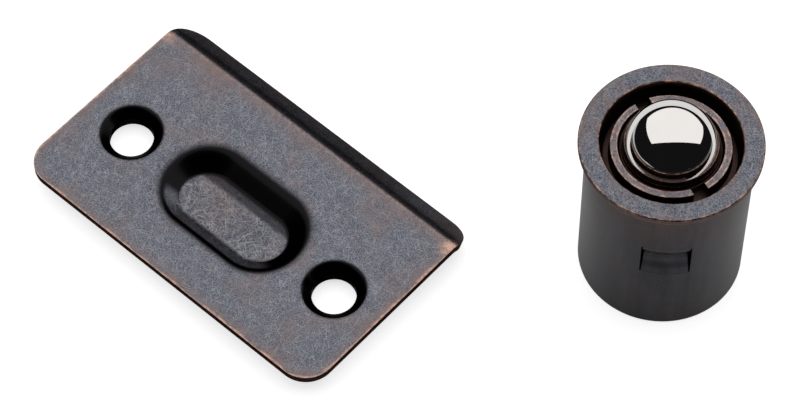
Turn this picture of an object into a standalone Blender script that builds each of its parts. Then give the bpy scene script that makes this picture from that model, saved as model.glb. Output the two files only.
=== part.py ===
"""Drive-in ball catch with its strike plate, at real size, in metres.

The catch is a pressed tube with a round face that is driven into a drilled hole in the top of
a door. A slotted sleeve with a coarse thread turns inside it and sets how far the ball stands
out. The ball is pushed up by a spring, and a swaged lip of the sleeve holds it in. The strike
plate is pressed from one sheet: it has a pocket for the ball, two dimpled screw holes and a
curved lip that leads the ball in.

+Z is up, out of the door's edge. The strike plate's long side runs along X.
"""
import math

import bmesh
import bpy
from mathutils import Matrix, Vector

MM = 0.001

# Ball, its seat, the spring and the disc that closes the sleeve
BALL_RADIUS = 6.35 * MM
BALL_RUNNING_GAP = 0.03 * MM
BALL_BORE_GAP = 0.2 * MM
LIP_OVERHANG = 0.03 * MM
SEAT_GAP = 0.3 * MM
SEAT_HEIGHT = 6.0 * MM
SEAT_WEB = 1.0 * MM
SEAT_SKIRT = 0.7 * MM
SEAT_RIM_DROP = 4.0 * MM
WIRE_RADIUS = 0.6 * MM
SPRING_PITCH = 1.95 * MM
CLOSED_TURN_GAP = 0.12 * MM
SPRING_POINTS_PER_TURN = 18
DISC_THICKNESS = 0.8 * MM
DISC_LEDGE = 1.05 * MM
CRIMP_THICKNESS = 0.5 * MM
CRIMP_OVERHANG = 1.3 * MM

# Adjusting sleeve, from the ball's bore outwards
LIP_GROOVE_WIDTH = 0.98 * MM
LIP_GROOVE_DEPTH = 0.6 * MM
LIP_RISE = 0.85 * MM
LIP_SWAGE = 0.6 * MM
COLLAR_WALL = 1.05 * MM
COLLAR_SETBACK = 1.05 * MM
SLEEVE_WALL = 2.55 * MM
SLEEVE_FOOT = 4.1 * MM
SHOULDER_STEP = 0.2 * MM
SHOULDER_DEPTH = 2.3 * MM
SHOULDER_HEIGHT = 0.9 * MM
SLOT_WIDTH = 2.2 * MM
SLOT_DEPTH = 1.9 * MM
SLOT_INSET = 0.1 * MM
SLOT_AZIMUTH = -21.5
THREAD_PITCH = 5.0 * MM
THREAD_DEPTH = 1.0 * MM
THREAD_CREST_WIDTH = 0.9 * MM
THREAD_FOOT_WIDTH = 1.7 * MM
THREAD_RUNOUT = 3.5 * MM
SLEEVE_SEGMENTS = 48
INNER_SEGMENTS = 32

# Barrel casing, pressed in one piece
BARREL_HEIGHT = 28.6 * MM
THREAD_HEADROOM = 0.5 * MM
TUBE_WALL = 1.0 * MM
FLANGE_OVERHANG = 1.1 * MM
FLANGE_THICKNESS = 1.0 * MM
FACE_HOLE_GAP = 0.5 * MM
PRESSED_EDGE = 0.2 * MM
CASING_SEGMENTS = 56

# Strips lanced out of the casing and pushed in, which the sleeve's thread runs on
STRIP_COUNT = 3
STRIP_AZIMUTH = -51.0
STRIP_WIDTH = 6.5 * MM
STRIP_SLIT = 0.25 * MM
STRIP_HEIGHT = 6.1 * MM
STRIP_DROP = 12.4 * MM
STRIP_BOW = 0.9 * MM
STRIP_EMBED = 0.03 * MM
STRIP_TIE = 0.7 * MM

# Strike plate, pressed from sheet; bend radii are those of the inner side
STRIKE_LENGTH = 56.0 * MM
STRIKE_FLAT_WIDTH = 30.2 * MM
SHEET = 1.2 * MM
STRIKE_CORNER = 4.4 * MM
POCKET_LENGTH = 28.4 * MM
POCKET_WIDTH = 18.0 * MM
POCKET_DEPTH = 2.8 * MM
POCKET_RIM_BEND = 3.4 * MM
POCKET_FLOOR_BEND = 1.8 * MM
POCKET_WALL_ANGLE = 38.0
POCKET_OFFSET = -0.55 * MM
POCKET_POINTS = 40
SCREW_SPACING = 39.6 * MM
SCREW_OFFSET = -0.9 * MM
SCREW_HOLE_RADIUS = 3.2 * MM
DIMPLE_WIDTH = 2.1 * MM
DIMPLE_RIM_BEND = 0.3 * MM
DIMPLE_ANGLE = 45.0
DIMPLE_POINTS = 24
LIP_BEND = 0.8 * MM
LIP_BEND_ANGLE = 28.0
LIP_CURVE_RADIUS = 21.0 * MM
LIP_CURVE_ANGLE = 12.0
LIP_CORNER = 4.2 * MM

# How the two lie: the barrel stands beyond the strike's end and behind its lip
BARREL_BEYOND_END = 20.6 * MM
BARREL_BEHIND_FLAT = 21.0 * MM

# Radii that follow, from the ball outwards
BALL_BORE = BALL_RADIUS + BALL_BORE_GAP
LIP_RADIUS = BALL_RADIUS - LIP_OVERHANG
GROOVE_MIDDLE = LIP_RADIUS + 0.5 * LIP_GROOVE_WIDTH
GROOVE_RADIUS = LIP_RADIUS + LIP_GROOVE_WIDTH
COLLAR_RADIUS = GROOVE_RADIUS + COLLAR_WALL
SLEEVE_RADIUS = BALL_BORE + SLEEVE_WALL
SHOULDER_RADIUS = SLEEVE_RADIUS + SHOULDER_STEP
CREST_RADIUS = SLEEVE_RADIUS + THREAD_DEPTH
BORE_RADIUS = CREST_RADIUS + THREAD_HEADROOM
TUBE_RADIUS = BORE_RADIUS + TUBE_WALL
FLANGE_RADIUS = TUBE_RADIUS + FLANGE_OVERHANG
FACE_HOLE_RADIUS = SHOULDER_RADIUS + FACE_HOLE_GAP
SEAT_RADIUS = BALL_BORE - SEAT_GAP
SEAT_CUP_RADIUS = BALL_RADIUS + SEAT_GAP
SKIRT_RADIUS = SEAT_RADIUS - SEAT_SKIRT
SPRING_RADIUS = SKIRT_RADIUS - SEAT_GAP - WIRE_RADIUS
RECESS_RADIUS = BALL_BORE + DISC_LEDGE
DISC_RADIUS = RECESS_RADIUS - SEAT_GAP

# Heights that follow, from the face down and from the crimped foot up
FACE_UNDERSIDE = BARREL_HEIGHT - FLANGE_THICKNESS
COLLAR_TOP = BARREL_HEIGHT - COLLAR_SETBACK
SHOULDER_TOP = COLLAR_TOP - SHOULDER_DEPTH
SHOULDER_FOOT = SHOULDER_TOP - SHOULDER_HEIGHT
STRIP_MIDDLE = BARREL_HEIGHT - STRIP_DROP
LIP_TOP = COLLAR_TOP + LIP_RISE
BALL_CENTRE = LIP_TOP - math.sqrt((BALL_RADIUS + BALL_RUNNING_GAP) ** 2 - LIP_RADIUS ** 2)
SEAT_TOP = BALL_CENTRE - SEAT_RIM_DROP
SEAT_BOTTOM = SEAT_TOP - SEAT_HEIGHT
SEAT_CEILING = BALL_CENTRE - SEAT_CUP_RADIUS - SEAT_WEB
CRIMP_TOP = SLEEVE_FOOT + CRIMP_THICKNESS
DISC_BOTTOM = CRIMP_TOP + SEAT_GAP
DISC_TOP = DISC_BOTTOM + DISC_THICKNESS
RECESS_TOP = DISC_TOP + SEAT_GAP
SPRING_FOOT = DISC_TOP + SEAT_GAP + WIRE_RADIUS
SPRING_HEAD = SEAT_CEILING - SEAT_GAP - WIRE_RADIUS
STRIKE_TOP = POCKET_DEPTH + SHEET


def clear_scene():
    for item in list(bpy.data.objects):
        bpy.data.objects.remove(item, do_unlink=True)


def new_collection(name):
    group = bpy.data.collections.new(name)
    bpy.context.scene.collection.children.link(group)
    return group


def new_material(name, colour, metallic, roughness):
    material = bpy.data.materials.new(name)
    material.use_nodes = True
    shader = material.node_tree.nodes["Principled BSDF"]
    shader.inputs["Base Color"].default_value = (*colour, 1.0)
    shader.inputs["Metallic"].default_value = metallic
    shader.inputs["Roughness"].default_value = roughness
    return material


def new_empty(name, group, place):
    empty = bpy.data.objects.new(name, None)
    empty.empty_display_size = 5.0 * MM
    empty.location = place
    group.objects.link(empty)
    return empty


def mesh_object(name, bm, group, parent=None, material=None):
    """Turn a bmesh into an object of the group, carried by the parent."""
    mesh = bpy.data.meshes.new(name)
    bm.to_mesh(mesh)
    bm.free()
    item = bpy.data.objects.new(name, mesh)
    group.objects.link(item)
    if parent:
        item.parent = parent
    if material:
        mesh.materials.append(material)
    return item


def as_cutter(item):
    item.hide_render = True
    item.display_type = "WIRE"
    return item


def combine(item, other, operation):
    boolean = item.modifiers.new(operation.title() + " " + other.name, "BOOLEAN")
    boolean.operation = operation
    boolean.solver = "EXACT"
    boolean.object = other


def arc(centre_r, centre_z, radius, start, end, steps):
    """Points of an arc in the profile's plane, angles in degrees from the outward direction."""
    points = []
    for i in range(steps + 1):
        angle = math.radians(start + (end - start) * i / steps)
        points.append((centre_r + radius * math.cos(angle), centre_z + radius * math.sin(angle)))
    return points


def turned(name, profile, segments, group, parent, material, closed=True):
    """Spin a profile of (radius, height) points round Z.

    A closed profile runs down the outer side and back up the bore. An open one has both its
    ends on the axis.
    """
    bm = bmesh.new()
    verts = [bm.verts.new((r, 0.0, z)) for r, z in profile]
    followers = verts[1:] + verts[:1] if closed else verts[1:]
    for first, second in zip(verts, followers):
        bm.edges.new((first, second))
    item = mesh_object(name, bm, group, parent, material)
    screw = item.modifiers.new("Turn", "SCREW")
    screw.steps = segments
    screw.render_steps = segments
    screw.use_merge_vertices = True
    screw.merge_threshold = 0.00001
    screw.use_smooth_shade = True
    return item


def box_cutter(name, size, place, azimuth, group, parent):
    """A block standing at a distance from the axis, in the direction of the azimuth."""
    bm = bmesh.new()
    bmesh.ops.create_cube(bm, size=1.0)
    bmesh.ops.scale(bm, vec=size, verts=bm.verts)
    bmesh.ops.translate(bm, vec=place, verts=bm.verts)
    turn = Matrix.Rotation(math.radians(azimuth), 3, "Z")
    bmesh.ops.rotate(bm, cent=(0.0, 0.0, 0.0), matrix=turn, verts=bm.verts)
    return as_cutter(mesh_object(name, bm, group, parent))


def strip_height(index):
    """The strips step up by a share of the pitch, so that one helix runs on all of them."""
    step = index if index <= STRIP_COUNT // 2 else index - STRIP_COUNT
    return STRIP_MIDDLE + THREAD_PITCH * step / STRIP_COUNT


def casing_profile():
    edge = PRESSED_EDGE
    underside = FACE_UNDERSIDE
    points = arc(FLANGE_RADIUS - edge, BARREL_HEIGHT - edge, edge, 90, 0, 2)
    points += arc(FLANGE_RADIUS - edge, underside + edge, edge, 0, -90, 1)
    points += arc(TUBE_RADIUS + edge, underside - edge, edge, 90, 180, 1)
    points += arc(TUBE_RADIUS - edge, edge, edge, 0, -90, 1)
    points += arc(BORE_RADIUS + edge, edge, edge, -90, -180, 1)
    points += arc(BORE_RADIUS - 2 * edge, underside - 2 * edge, 2 * edge, 0, 90, 2)
    points += arc(FACE_HOLE_RADIUS + edge, underside + edge, edge, -90, -180, 1)
    points += arc(FACE_HOLE_RADIUS + edge, BARREL_HEIGHT - edge, edge, 180, 90, 2)
    return points


def lanced_strip(name, index, group, parent):
    """One strip: a patch of the wall that bows inwards between its two slits."""
    half_angle = math.asin(0.5 * STRIP_WIDTH / TUBE_RADIUS)
    middle = strip_height(index)
    azimuth = math.radians(STRIP_AZIMUTH + 360.0 * index / STRIP_COUNT)
    bm = bmesh.new()
    bmesh.ops.create_grid(bm, x_segments=6, y_segments=14, size=0.5)
    for vert in bm.verts:
        angle = azimuth + 2.0 * half_angle * vert.co.x
        rise = vert.co.y * (STRIP_HEIGHT + 2.0 * STRIP_TIE)
        share = min(1.0, abs(rise) / (0.5 * STRIP_HEIGHT))
        bow = STRIP_BOW * math.cos(0.5 * math.pi * share) ** 2
        radius = TUBE_RADIUS - STRIP_EMBED - bow
        vert.co = (radius * math.cos(angle), radius * math.sin(angle), middle + rise)
    strip = as_cutter(mesh_object(name, bm, group, parent))
    wall = strip.modifiers.new("Wall", "SOLIDIFY")
    wall.thickness = TUBE_WALL - 2.0 * STRIP_EMBED
    wall.offset = -1.0
    return strip


def make_casing(group, tools, parent, material):
    casing = turned("casing", casing_profile(), CASING_SEGMENTS, group, parent, material)
    window = (3.0 * TUBE_WALL, STRIP_WIDTH + 2.0 * STRIP_SLIT, STRIP_HEIGHT)
    for i in range(STRIP_COUNT):
        azimuth = STRIP_AZIMUTH + 360.0 * i / STRIP_COUNT
        place = (TUBE_RADIUS - 0.5 * TUBE_WALL, 0.0, strip_height(i))
        cutter = box_cutter(f"strip_window_{i + 1}", window, place, azimuth, tools, parent)
        combine(casing, cutter, "DIFFERENCE")
    for i in range(STRIP_COUNT):
        combine(casing, lanced_strip(f"strip_{i + 1}", i, tools, parent), "UNION")
    return casing


def sleeve_profile():
    edge = PRESSED_EDGE
    points = [(COLLAR_RADIUS - edge, COLLAR_TOP), (COLLAR_RADIUS, COLLAR_TOP - edge)]
    points += [(COLLAR_RADIUS, SHOULDER_TOP), (SHOULDER_RADIUS, SHOULDER_TOP)]
    points += [(SHOULDER_RADIUS, SHOULDER_FOOT), (SLEEVE_RADIUS, SHOULDER_FOOT - edge)]
    points += arc(SLEEVE_RADIUS - CRIMP_THICKNESS, CRIMP_TOP, CRIMP_THICKNESS, 0, -90, 3)
    points += [(RECESS_RADIUS - CRIMP_OVERHANG, SLEEVE_FOOT)]
    points += [(RECESS_RADIUS - CRIMP_OVERHANG, CRIMP_TOP), (RECESS_RADIUS, CRIMP_TOP)]
    points += [(RECESS_RADIUS, RECESS_TOP), (BALL_BORE, RECESS_TOP)]
    points += [(BALL_BORE, LIP_TOP - LIP_SWAGE), (LIP_RADIUS, LIP_TOP)]
    points += [(LIP_RADIUS + 0.5 * edge, LIP_TOP + 0.25 * edge), (GROOVE_MIDDLE, LIP_TOP - LIP_SWAGE)]
    points += [(GROOVE_MIDDLE, COLLAR_TOP - LIP_GROOVE_DEPTH), (GROOVE_RADIUS, COLLAR_TOP)]
    return points


def thread_ridge(group, parent):
    """The coarse right-hand thread, a trapezium carried up a helix and let into the sleeve.

    The ridge passes a strip's azimuth half a pitch above and below its middle, so the groove
    lies on the strips. It starts and ends on whole segments of the sleeve.
    """
    step_angle = 360.0 / SLEEVE_SEGMENTS
    step_rise = THREAD_PITCH / SLEEVE_SEGMENTS
    at_zero = STRIP_MIDDLE + THREAD_PITCH * (0.5 - STRIP_AZIMUTH / 360.0)
    lowest = SLEEVE_FOOT + THREAD_RUNOUT
    highest = SHOULDER_FOOT - PRESSED_EDGE - 0.5 * THREAD_FOOT_WIDTH
    first = math.ceil((lowest - at_zero) / step_rise)
    steps = math.floor((highest - at_zero) / step_rise) - first
    root = SLEEVE_RADIUS - THREAD_DEPTH
    section = [(root, -THREAD_FOOT_WIDTH), (CREST_RADIUS, -THREAD_CREST_WIDTH),
               (CREST_RADIUS, THREAD_CREST_WIDTH), (root, THREAD_FOOT_WIDTH)]
    bm = bmesh.new()
    start = at_zero + first * step_rise
    corners = [bm.verts.new((r, 0.0, start + 0.5 * width)) for r, width in section]
    face = bm.faces.new(corners)
    turn = Matrix.Rotation(math.radians(first * step_angle), 3, "Z")
    bmesh.ops.rotate(bm, cent=(0.0, 0.0, 0.0), matrix=turn, verts=bm.verts)
    bmesh.ops.spin(bm, geom=[face], axis=(0.0, 0.0, 1.0), cent=(0.0, 0.0, 0.0),
                   dvec=(0.0, 0.0, step_rise), angle=math.radians(step_angle * steps),
                   steps=steps, use_duplicate=False)
    bmesh.ops.recalc_face_normals(bm, faces=bm.faces)
    return as_cutter(mesh_object("thread_ridge", bm, group, parent))


def make_sleeve(group, tools, parent, material):
    sleeve = turned("adjuster_sleeve", sleeve_profile(), SLEEVE_SEGMENTS, group, parent, material)
    combine(sleeve, thread_ridge(tools, parent), "UNION")
    inner = GROOVE_MIDDLE + SLOT_INSET
    outer = COLLAR_RADIUS + THREAD_DEPTH
    size = (outer - inner, SLOT_WIDTH, 2.0 * SLOT_DEPTH)
    place = (0.5 * (inner + outer), 0.0, COLLAR_TOP)
    for i in range(2):
        azimuth = SLOT_AZIMUTH + 180.0 * i
        cutter = box_cutter(f"driver_slot_{i + 1}", size, place, azimuth, tools, parent)
        combine(sleeve, cutter, "DIFFERENCE")
    return sleeve


def make_ball(group, parent, material):
    bm = bmesh.new()
    bmesh.ops.create_uvsphere(bm, u_segments=36, v_segments=20, radius=BALL_RADIUS)
    ball = mesh_object("ball", bm, group, parent, material)
    ball.location = (0.0, 0.0, BALL_CENTRE)
    ball.data.shade_smooth()
    return ball


def make_seat(group, parent, material):
    """The cup between ball and spring: a spherical hollow above, a skirt round the spring."""
    edge = PRESSED_EDGE
    rim_angle = math.degrees(math.asin(SEAT_RIM_DROP / SEAT_CUP_RADIUS))
    hollow = arc(0.0, BALL_CENTRE, SEAT_CUP_RADIUS, -90, -rim_angle, 7)
    hollow[0] = (0.0, BALL_CENTRE - SEAT_CUP_RADIUS)
    points = hollow + [(SEAT_RADIUS, SEAT_TOP), (SEAT_RADIUS, SEAT_BOTTOM + edge)]
    points += [(SEAT_RADIUS - edge, SEAT_BOTTOM), (SKIRT_RADIUS, SEAT_BOTTOM)]
    points += [(SKIRT_RADIUS, SEAT_CEILING), (0.0, SEAT_CEILING)]
    return turned("ball_seat", points, INNER_SEGMENTS, group, parent, material, closed=False)


def make_disc(group, parent, material):
    edge = PRESSED_EDGE
    points = [(0.0, DISC_TOP), (DISC_RADIUS - edge, DISC_TOP), (DISC_RADIUS, DISC_TOP - edge)]
    points += [(DISC_RADIUS, DISC_BOTTOM + edge), (DISC_RADIUS - edge, DISC_BOTTOM)]
    points += [(0.0, DISC_BOTTOM)]
    return turned("base_disc", points, INNER_SEGMENTS, group, parent, material, closed=False)


def make_spring(group, parent, material):
    """A compression spring with a closed turn at each end, as a wire on a helix."""
    closed_pitch = 2.0 * WIRE_RADIUS + CLOSED_TURN_GAP
    active_turns = (SPRING_HEAD - SPRING_FOOT - 2.0 * closed_pitch) / SPRING_PITCH
    turns = active_turns + 2.0
    count = int(turns * SPRING_POINTS_PER_TURN) + 1
    curve = bpy.data.curves.new("coil_spring", "CURVE")
    curve.dimensions = "3D"
    curve.bevel_depth = WIRE_RADIUS
    curve.bevel_resolution = 1
    curve.use_fill_caps = True
    spline = curve.splines.new("POLY")
    spline.points.add(count - 1)
    for i in range(count):
        turn = turns * i / (count - 1)
        lower = min(turn, 1.0) * closed_pitch
        middle = min(max(turn - 1.0, 0.0), active_turns) * SPRING_PITCH
        upper = max(turn - 1.0 - active_turns, 0.0) * closed_pitch
        angle = 2.0 * math.pi * turn
        spline.points[i].co = (SPRING_RADIUS * math.cos(angle), SPRING_RADIUS * math.sin(angle),
                               SPRING_FOOT + lower + middle + upper, 1.0)
    spring = bpy.data.objects.new("coil_spring", curve)
    spring.parent = parent
    curve.materials.append(material)
    group.objects.link(spring)
    return spring


def pressed_section(start_radius, rim_radius, wall_angle, depth, floor_radius, steps):
    """Section of a pressing, from the flat down to its floor, as (distance inwards, drop)."""
    angle = math.radians(wall_angle)
    points = []
    for i in range(1, steps + 1):
        a = angle * i / steps
        points.append((rim_radius * math.sin(a), rim_radius * (1.0 - math.cos(a))))
    travel, drop = points[-1]
    fillet_drop = floor_radius * (1.0 - math.cos(angle))
    wall_drop = depth - drop - fillet_drop
    travel += wall_drop / math.tan(angle)
    drop += wall_drop
    points.append((travel, drop))
    if floor_radius > 0.0:
        centre = travel + floor_radius * math.sin(angle)
        for i in range(1, steps + 1):
            a = angle * (1.0 - i / steps)
            points.append((centre - floor_radius * math.sin(a),
                           depth - floor_radius * (1.0 - math.cos(a))))
    return [(start_radius - travel, drop) for travel, drop in points]


def obround_ring(bm, centre, half_straight, radius, count):
    """A closed loop of vertices and edges: an obround, or a circle when it has no straight."""
    ring = []
    for i in range(count):
        angle = 2.0 * math.pi * (i + 0.5) / count
        x = math.copysign(half_straight, math.cos(angle)) + radius * math.cos(angle)
        ring.append(bm.verts.new((centre[0] + x, centre[1] + radius * math.sin(angle), 0.0)))
    edges = [bm.edges.new(pair) for pair in zip(ring, ring[1:] + ring[:1])]
    return ring, edges


def extrude_loop(bm, verts, edges):
    """Extrude a chain of edges in place, and give the new chain in the same order."""
    made = bmesh.ops.extrude_edge_only(bm, edges=edges)["geom"]
    new = {item for item in made if isinstance(item, bmesh.types.BMVert)}
    partners = []
    for vert in verts:
        partners.append(next(e.other_vert(vert) for e in vert.link_edges
                             if e.other_vert(vert) in new))
    new_edges = [item for item in made if isinstance(item, bmesh.types.BMEdge)
                 and item.verts[0] in new and item.verts[1] in new]
    return partners, new_edges


def press_form(bm, centre, half_straight, radius, count, section, closed):
    """Press a dish into the sheet, ring by ring, and give the ring that lies in the flat."""
    rim, rim_edges = obround_ring(bm, centre, half_straight, radius, count)
    ring, edges = rim, rim_edges
    for ring_radius, drop in section:
        ring, edges = extrude_loop(bm, ring, edges)
        for i, vert in enumerate(ring):
            angle = 2.0 * math.pi * (i + 0.5) / count
            x = math.copysign(half_straight, math.cos(angle)) + ring_radius * math.cos(angle)
            vert.co = (centre[0] + x, centre[1] + ring_radius * math.sin(angle), -drop)
    if closed:
        bmesh.ops.triangle_fill(bm, use_beauty=True, edges=edges)
    return rim_edges


def lip_point(run):
    """Height and reach of the lip, a run along it past the bend line."""
    bend = math.radians(LIP_BEND_ANGLE)
    radius = LIP_BEND + SHEET
    a = min(run / radius, bend)
    reach = radius * math.sin(a)
    drop = radius * (1.0 - math.cos(a))
    rest = run - bend * radius
    if rest > 0.0:
        b = bend + rest / LIP_CURVE_RADIUS
        reach += LIP_CURVE_RADIUS * (math.sin(b) - math.sin(bend))
        drop += LIP_CURVE_RADIUS * (math.cos(bend) - math.cos(b))
    return reach, drop


def strike_outline(bm):
    """The flat's edge: two rounded corners in front and the bend line behind."""
    x, y = 0.5 * STRIKE_LENGTH, 0.5 * STRIKE_FLAT_WIDTH
    centre_x, centre_y = x - STRIKE_CORNER, -y + STRIKE_CORNER
    corner = arc(-centre_x, centre_y, STRIKE_CORNER, 180, 270, 7)
    corner += arc(centre_x, centre_y, STRIKE_CORNER, 270, 360, 7)
    points = [(-x, y)] + corner + [(x, y)]
    verts = [bm.verts.new((px, py, 0.0)) for px, py in points]
    edges = [bm.edges.new(pair) for pair in zip(verts, verts[1:])]
    bend_edge = bm.edges.new((verts[-1], verts[0]))
    return edges, bend_edge, (verts[0], verts[-1])


def bend_lip(bm, bend_edge, ends):
    """Extrude the bend line along the lip's curve, with its outer corners rounded."""
    bend_run = math.radians(LIP_BEND_ANGLE) * (LIP_BEND + SHEET)
    length = bend_run + math.radians(LIP_CURVE_ANGLE) * LIP_CURVE_RADIUS
    corner_start = length - LIP_CORNER
    runs = [bend_run * i / 4 for i in range(1, 5)]
    runs += [corner_start + LIP_CORNER * math.sin(math.radians(15.0 * i)) for i in range(1, 7)]
    chain, edges = list(ends), [bend_edge]
    for run in runs:
        past = min(1.0, max(0.0, (run - corner_start) / LIP_CORNER))
        inset = LIP_CORNER * (1.0 - math.sqrt(1.0 - past * past))
        reach, drop = lip_point(run)
        chain, edges = extrude_loop(bm, chain, edges)
        for vert, side in zip(chain, (-1.0, 1.0)):
            vert.co = (side * (0.5 * STRIKE_LENGTH - inset), 0.5 * STRIKE_FLAT_WIDTH + reach,
                       -drop)


def make_strike(group, tools, parent, material):
    bm = bmesh.new()
    outline, bend_edge, ends = strike_outline(bm)
    pocket = pressed_section(0.5 * POCKET_WIDTH, POCKET_RIM_BEND + SHEET, POCKET_WALL_ANGLE,
                             POCKET_DEPTH, POCKET_FLOOR_BEND, 4)
    loops = outline + [bend_edge]
    loops += press_form(bm, (0.0, POCKET_OFFSET), 0.5 * (POCKET_LENGTH - POCKET_WIDTH),
                        0.5 * POCKET_WIDTH, POCKET_POINTS, pocket, True)
    dimple_radius = SCREW_HOLE_RADIUS + DIMPLE_WIDTH
    dimple = pressed_section(dimple_radius, DIMPLE_RIM_BEND + SHEET, DIMPLE_ANGLE,
                             DIMPLE_WIDTH, 0.0, 4)
    for side in (-1.0, 1.0):
        centre = (side * 0.5 * SCREW_SPACING, SCREW_OFFSET)
        loops += press_form(bm, centre, 0.0, dimple_radius, DIMPLE_POINTS, dimple, False)
    bmesh.ops.triangle_fill(bm, use_beauty=True, edges=loops, normal=Vector((0.0, 0.0, 1.0)))
    bend_lip(bm, bend_edge, ends)
    bmesh.ops.recalc_face_normals(bm, faces=bm.faces)
    if max(bm.faces, key=lambda face: face.calc_area()).normal.z < 0.0:
        bmesh.ops.reverse_faces(bm, faces=bm.faces)
    strike = mesh_object("strike_plate", bm, group, parent, material)
    strike.location = (0.0, 0.0, STRIKE_TOP)
    sheet = strike.modifiers.new("Sheet", "SOLIDIFY")
    sheet.thickness = SHEET
    sheet.offset = -1.0
    sheet.use_even_offset = True
    for side, label in ((-1.0, "left"), (1.0, "right")):
        bm = bmesh.new()
        bmesh.ops.create_cone(bm, cap_ends=True, segments=DIMPLE_POINTS + 8,
                              radius1=SCREW_HOLE_RADIUS, radius2=SCREW_HOLE_RADIUS,
                              depth=3.0 * STRIKE_TOP)
        punch = as_cutter(mesh_object(f"screw_hole_{label}", bm, tools, parent))
        punch.location = (side * 0.5 * SCREW_SPACING, SCREW_OFFSET, 0.5 * STRIKE_TOP)
        combine(strike, punch, "DIFFERENCE")
    return strike


def main():
    clear_scene()
    catch = new_collection("drive_in_ball_catch")
    tools = new_collection("cutters")

    span_x = STRIKE_LENGTH + BARREL_BEYOND_END + FLANGE_RADIUS
    span_y = STRIKE_FLAT_WIDTH + BARREL_BEHIND_FLAT + FLANGE_RADIUS
    strike_place = (0.5 * (STRIKE_LENGTH - span_x), 0.5 * (STRIKE_FLAT_WIDTH - span_y), 0.0)
    barrel_place = (0.5 * span_x - FLANGE_RADIUS, 0.5 * span_y - FLANGE_RADIUS, 0.0)
    strike_frame = new_empty("strike_frame", catch, strike_place)
    barrel_frame = new_empty("barrel_frame", catch, barrel_place)

    bronze = (0.125, 0.130, 0.150)
    steel = (0.55, 0.55, 0.56)
    make_casing(catch, tools, barrel_frame, new_material("bronzed_casing", bronze, 0.6, 0.42))
    make_sleeve(catch, tools, barrel_frame, new_material("bronzed_sleeve", bronze, 0.6, 0.4))
    make_ball(catch, barrel_frame, new_material("chromed_ball", (0.82, 0.81, 0.79), 1.0, 0.05))
    make_seat(catch, barrel_frame, new_material("steel_seat", steel, 1.0, 0.35))
    make_disc(catch, barrel_frame, new_material("steel_disc", steel, 1.0, 0.4))
    make_spring(catch, barrel_frame, new_material("spring_steel", (0.45, 0.45, 0.47), 1.0, 0.3))
    make_strike(catch, tools, strike_frame, new_material("bronzed_strike", bronze, 0.6, 0.45))


main()
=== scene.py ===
# %% [markdown]
# # A drive-in ball catch and its strike plate
# The catch is a pressed round casing that is driven into the top of a door. A sprung, chromed
# ball stands out of an adjusting sleeve inside it. The strike plate is screwed into the door
# frame, and its pocket catches the ball. Both are steel with a dark bronze finish that was
# tumbled, so that the flats are rubbed grey and the edges show copper.
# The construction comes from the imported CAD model. This script gives it its looks: finer meshes
# for what shows, and node-based finishes for all of it.

# %% Load the frame
import math

import bmesh
import bpy
from mathutils import Matrix, Vector


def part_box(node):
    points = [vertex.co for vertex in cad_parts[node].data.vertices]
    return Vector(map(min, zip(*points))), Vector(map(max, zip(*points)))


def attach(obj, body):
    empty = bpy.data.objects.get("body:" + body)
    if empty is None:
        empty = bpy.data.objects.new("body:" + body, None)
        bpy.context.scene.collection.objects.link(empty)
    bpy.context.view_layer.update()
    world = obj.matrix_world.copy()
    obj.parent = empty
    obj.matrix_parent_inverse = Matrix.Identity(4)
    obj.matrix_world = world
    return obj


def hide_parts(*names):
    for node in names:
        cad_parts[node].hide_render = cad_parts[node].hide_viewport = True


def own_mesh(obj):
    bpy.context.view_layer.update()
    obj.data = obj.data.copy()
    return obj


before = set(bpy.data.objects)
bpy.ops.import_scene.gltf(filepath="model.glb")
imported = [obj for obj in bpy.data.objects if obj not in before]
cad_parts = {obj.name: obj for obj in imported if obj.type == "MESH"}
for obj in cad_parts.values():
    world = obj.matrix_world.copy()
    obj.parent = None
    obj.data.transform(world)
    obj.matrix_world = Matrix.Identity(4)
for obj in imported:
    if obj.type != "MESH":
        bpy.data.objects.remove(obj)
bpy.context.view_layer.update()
MM = 0.001

# %% [markdown]
# ## Where things are
# Places are worked out from the boxes of the CAD pieces, so that the fine meshes land where the
# solids are. The barrel's axis is the middle of the casing's box. The strike plate's flat ends at
# its bend line and the lip reaches on past it, so of its box only the low side, the length and
# the height of the top face are used. The collar has no box of its own. Its depth below the face
# is a size of the CAD model, and so is the tip that stands above the lip's inner rim.

# %% Places from the frame
COLLAR_DEPTH = 1.05 * MM
LIP_TIP = 0.05 * MM
casing_low, casing_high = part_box("casing")
sleeve_low, sleeve_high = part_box("adjuster_sleeve")
ball_low, ball_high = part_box("ball")
strike_low, strike_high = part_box("strike_plate")
BARREL_AXIS = Vector((0.5 * (casing_low.x + casing_high.x), 0.5 * (casing_low.y + casing_high.y), 0.0))
BARREL_HEIGHT = casing_high.z
COLLAR_TOP = BARREL_HEIGHT - COLLAR_DEPTH
LIP_TOP = sleeve_high.z - LIP_TIP
SLEEVE_FOOT = sleeve_low.z
BALL_RADIUS = 0.5 * (ball_high.z - ball_low.z)
BALL_CENTRE = Vector((BARREL_AXIS.x, BARREL_AXIS.y, ball_high.z - BALL_RADIUS))
STRIKE_LENGTH = strike_high.x - strike_low.x
STRIKE_FLAT_WIDTH = 30.2 * MM
STRIKE_PLACE = Vector((0.5 * (strike_low.x + strike_high.x), strike_low.y + 0.5 * STRIKE_FLAT_WIDTH,
                       strike_high.z))
print("barrel axis", BARREL_AXIS / MM, "strike middle", STRIKE_PLACE / MM)

# %% [markdown]
# ## Camera
# The photograph was taken with a long lens from above. A camera is a place, an aim, a roll and a
# focal length. The numbers come from a fit to points measured in the photograph, except for the
# aim, which was set by comparing pictures. Tracking an empty would do too, but a matrix made of
# the camera's own three axes holds the small roll exactly.

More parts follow.
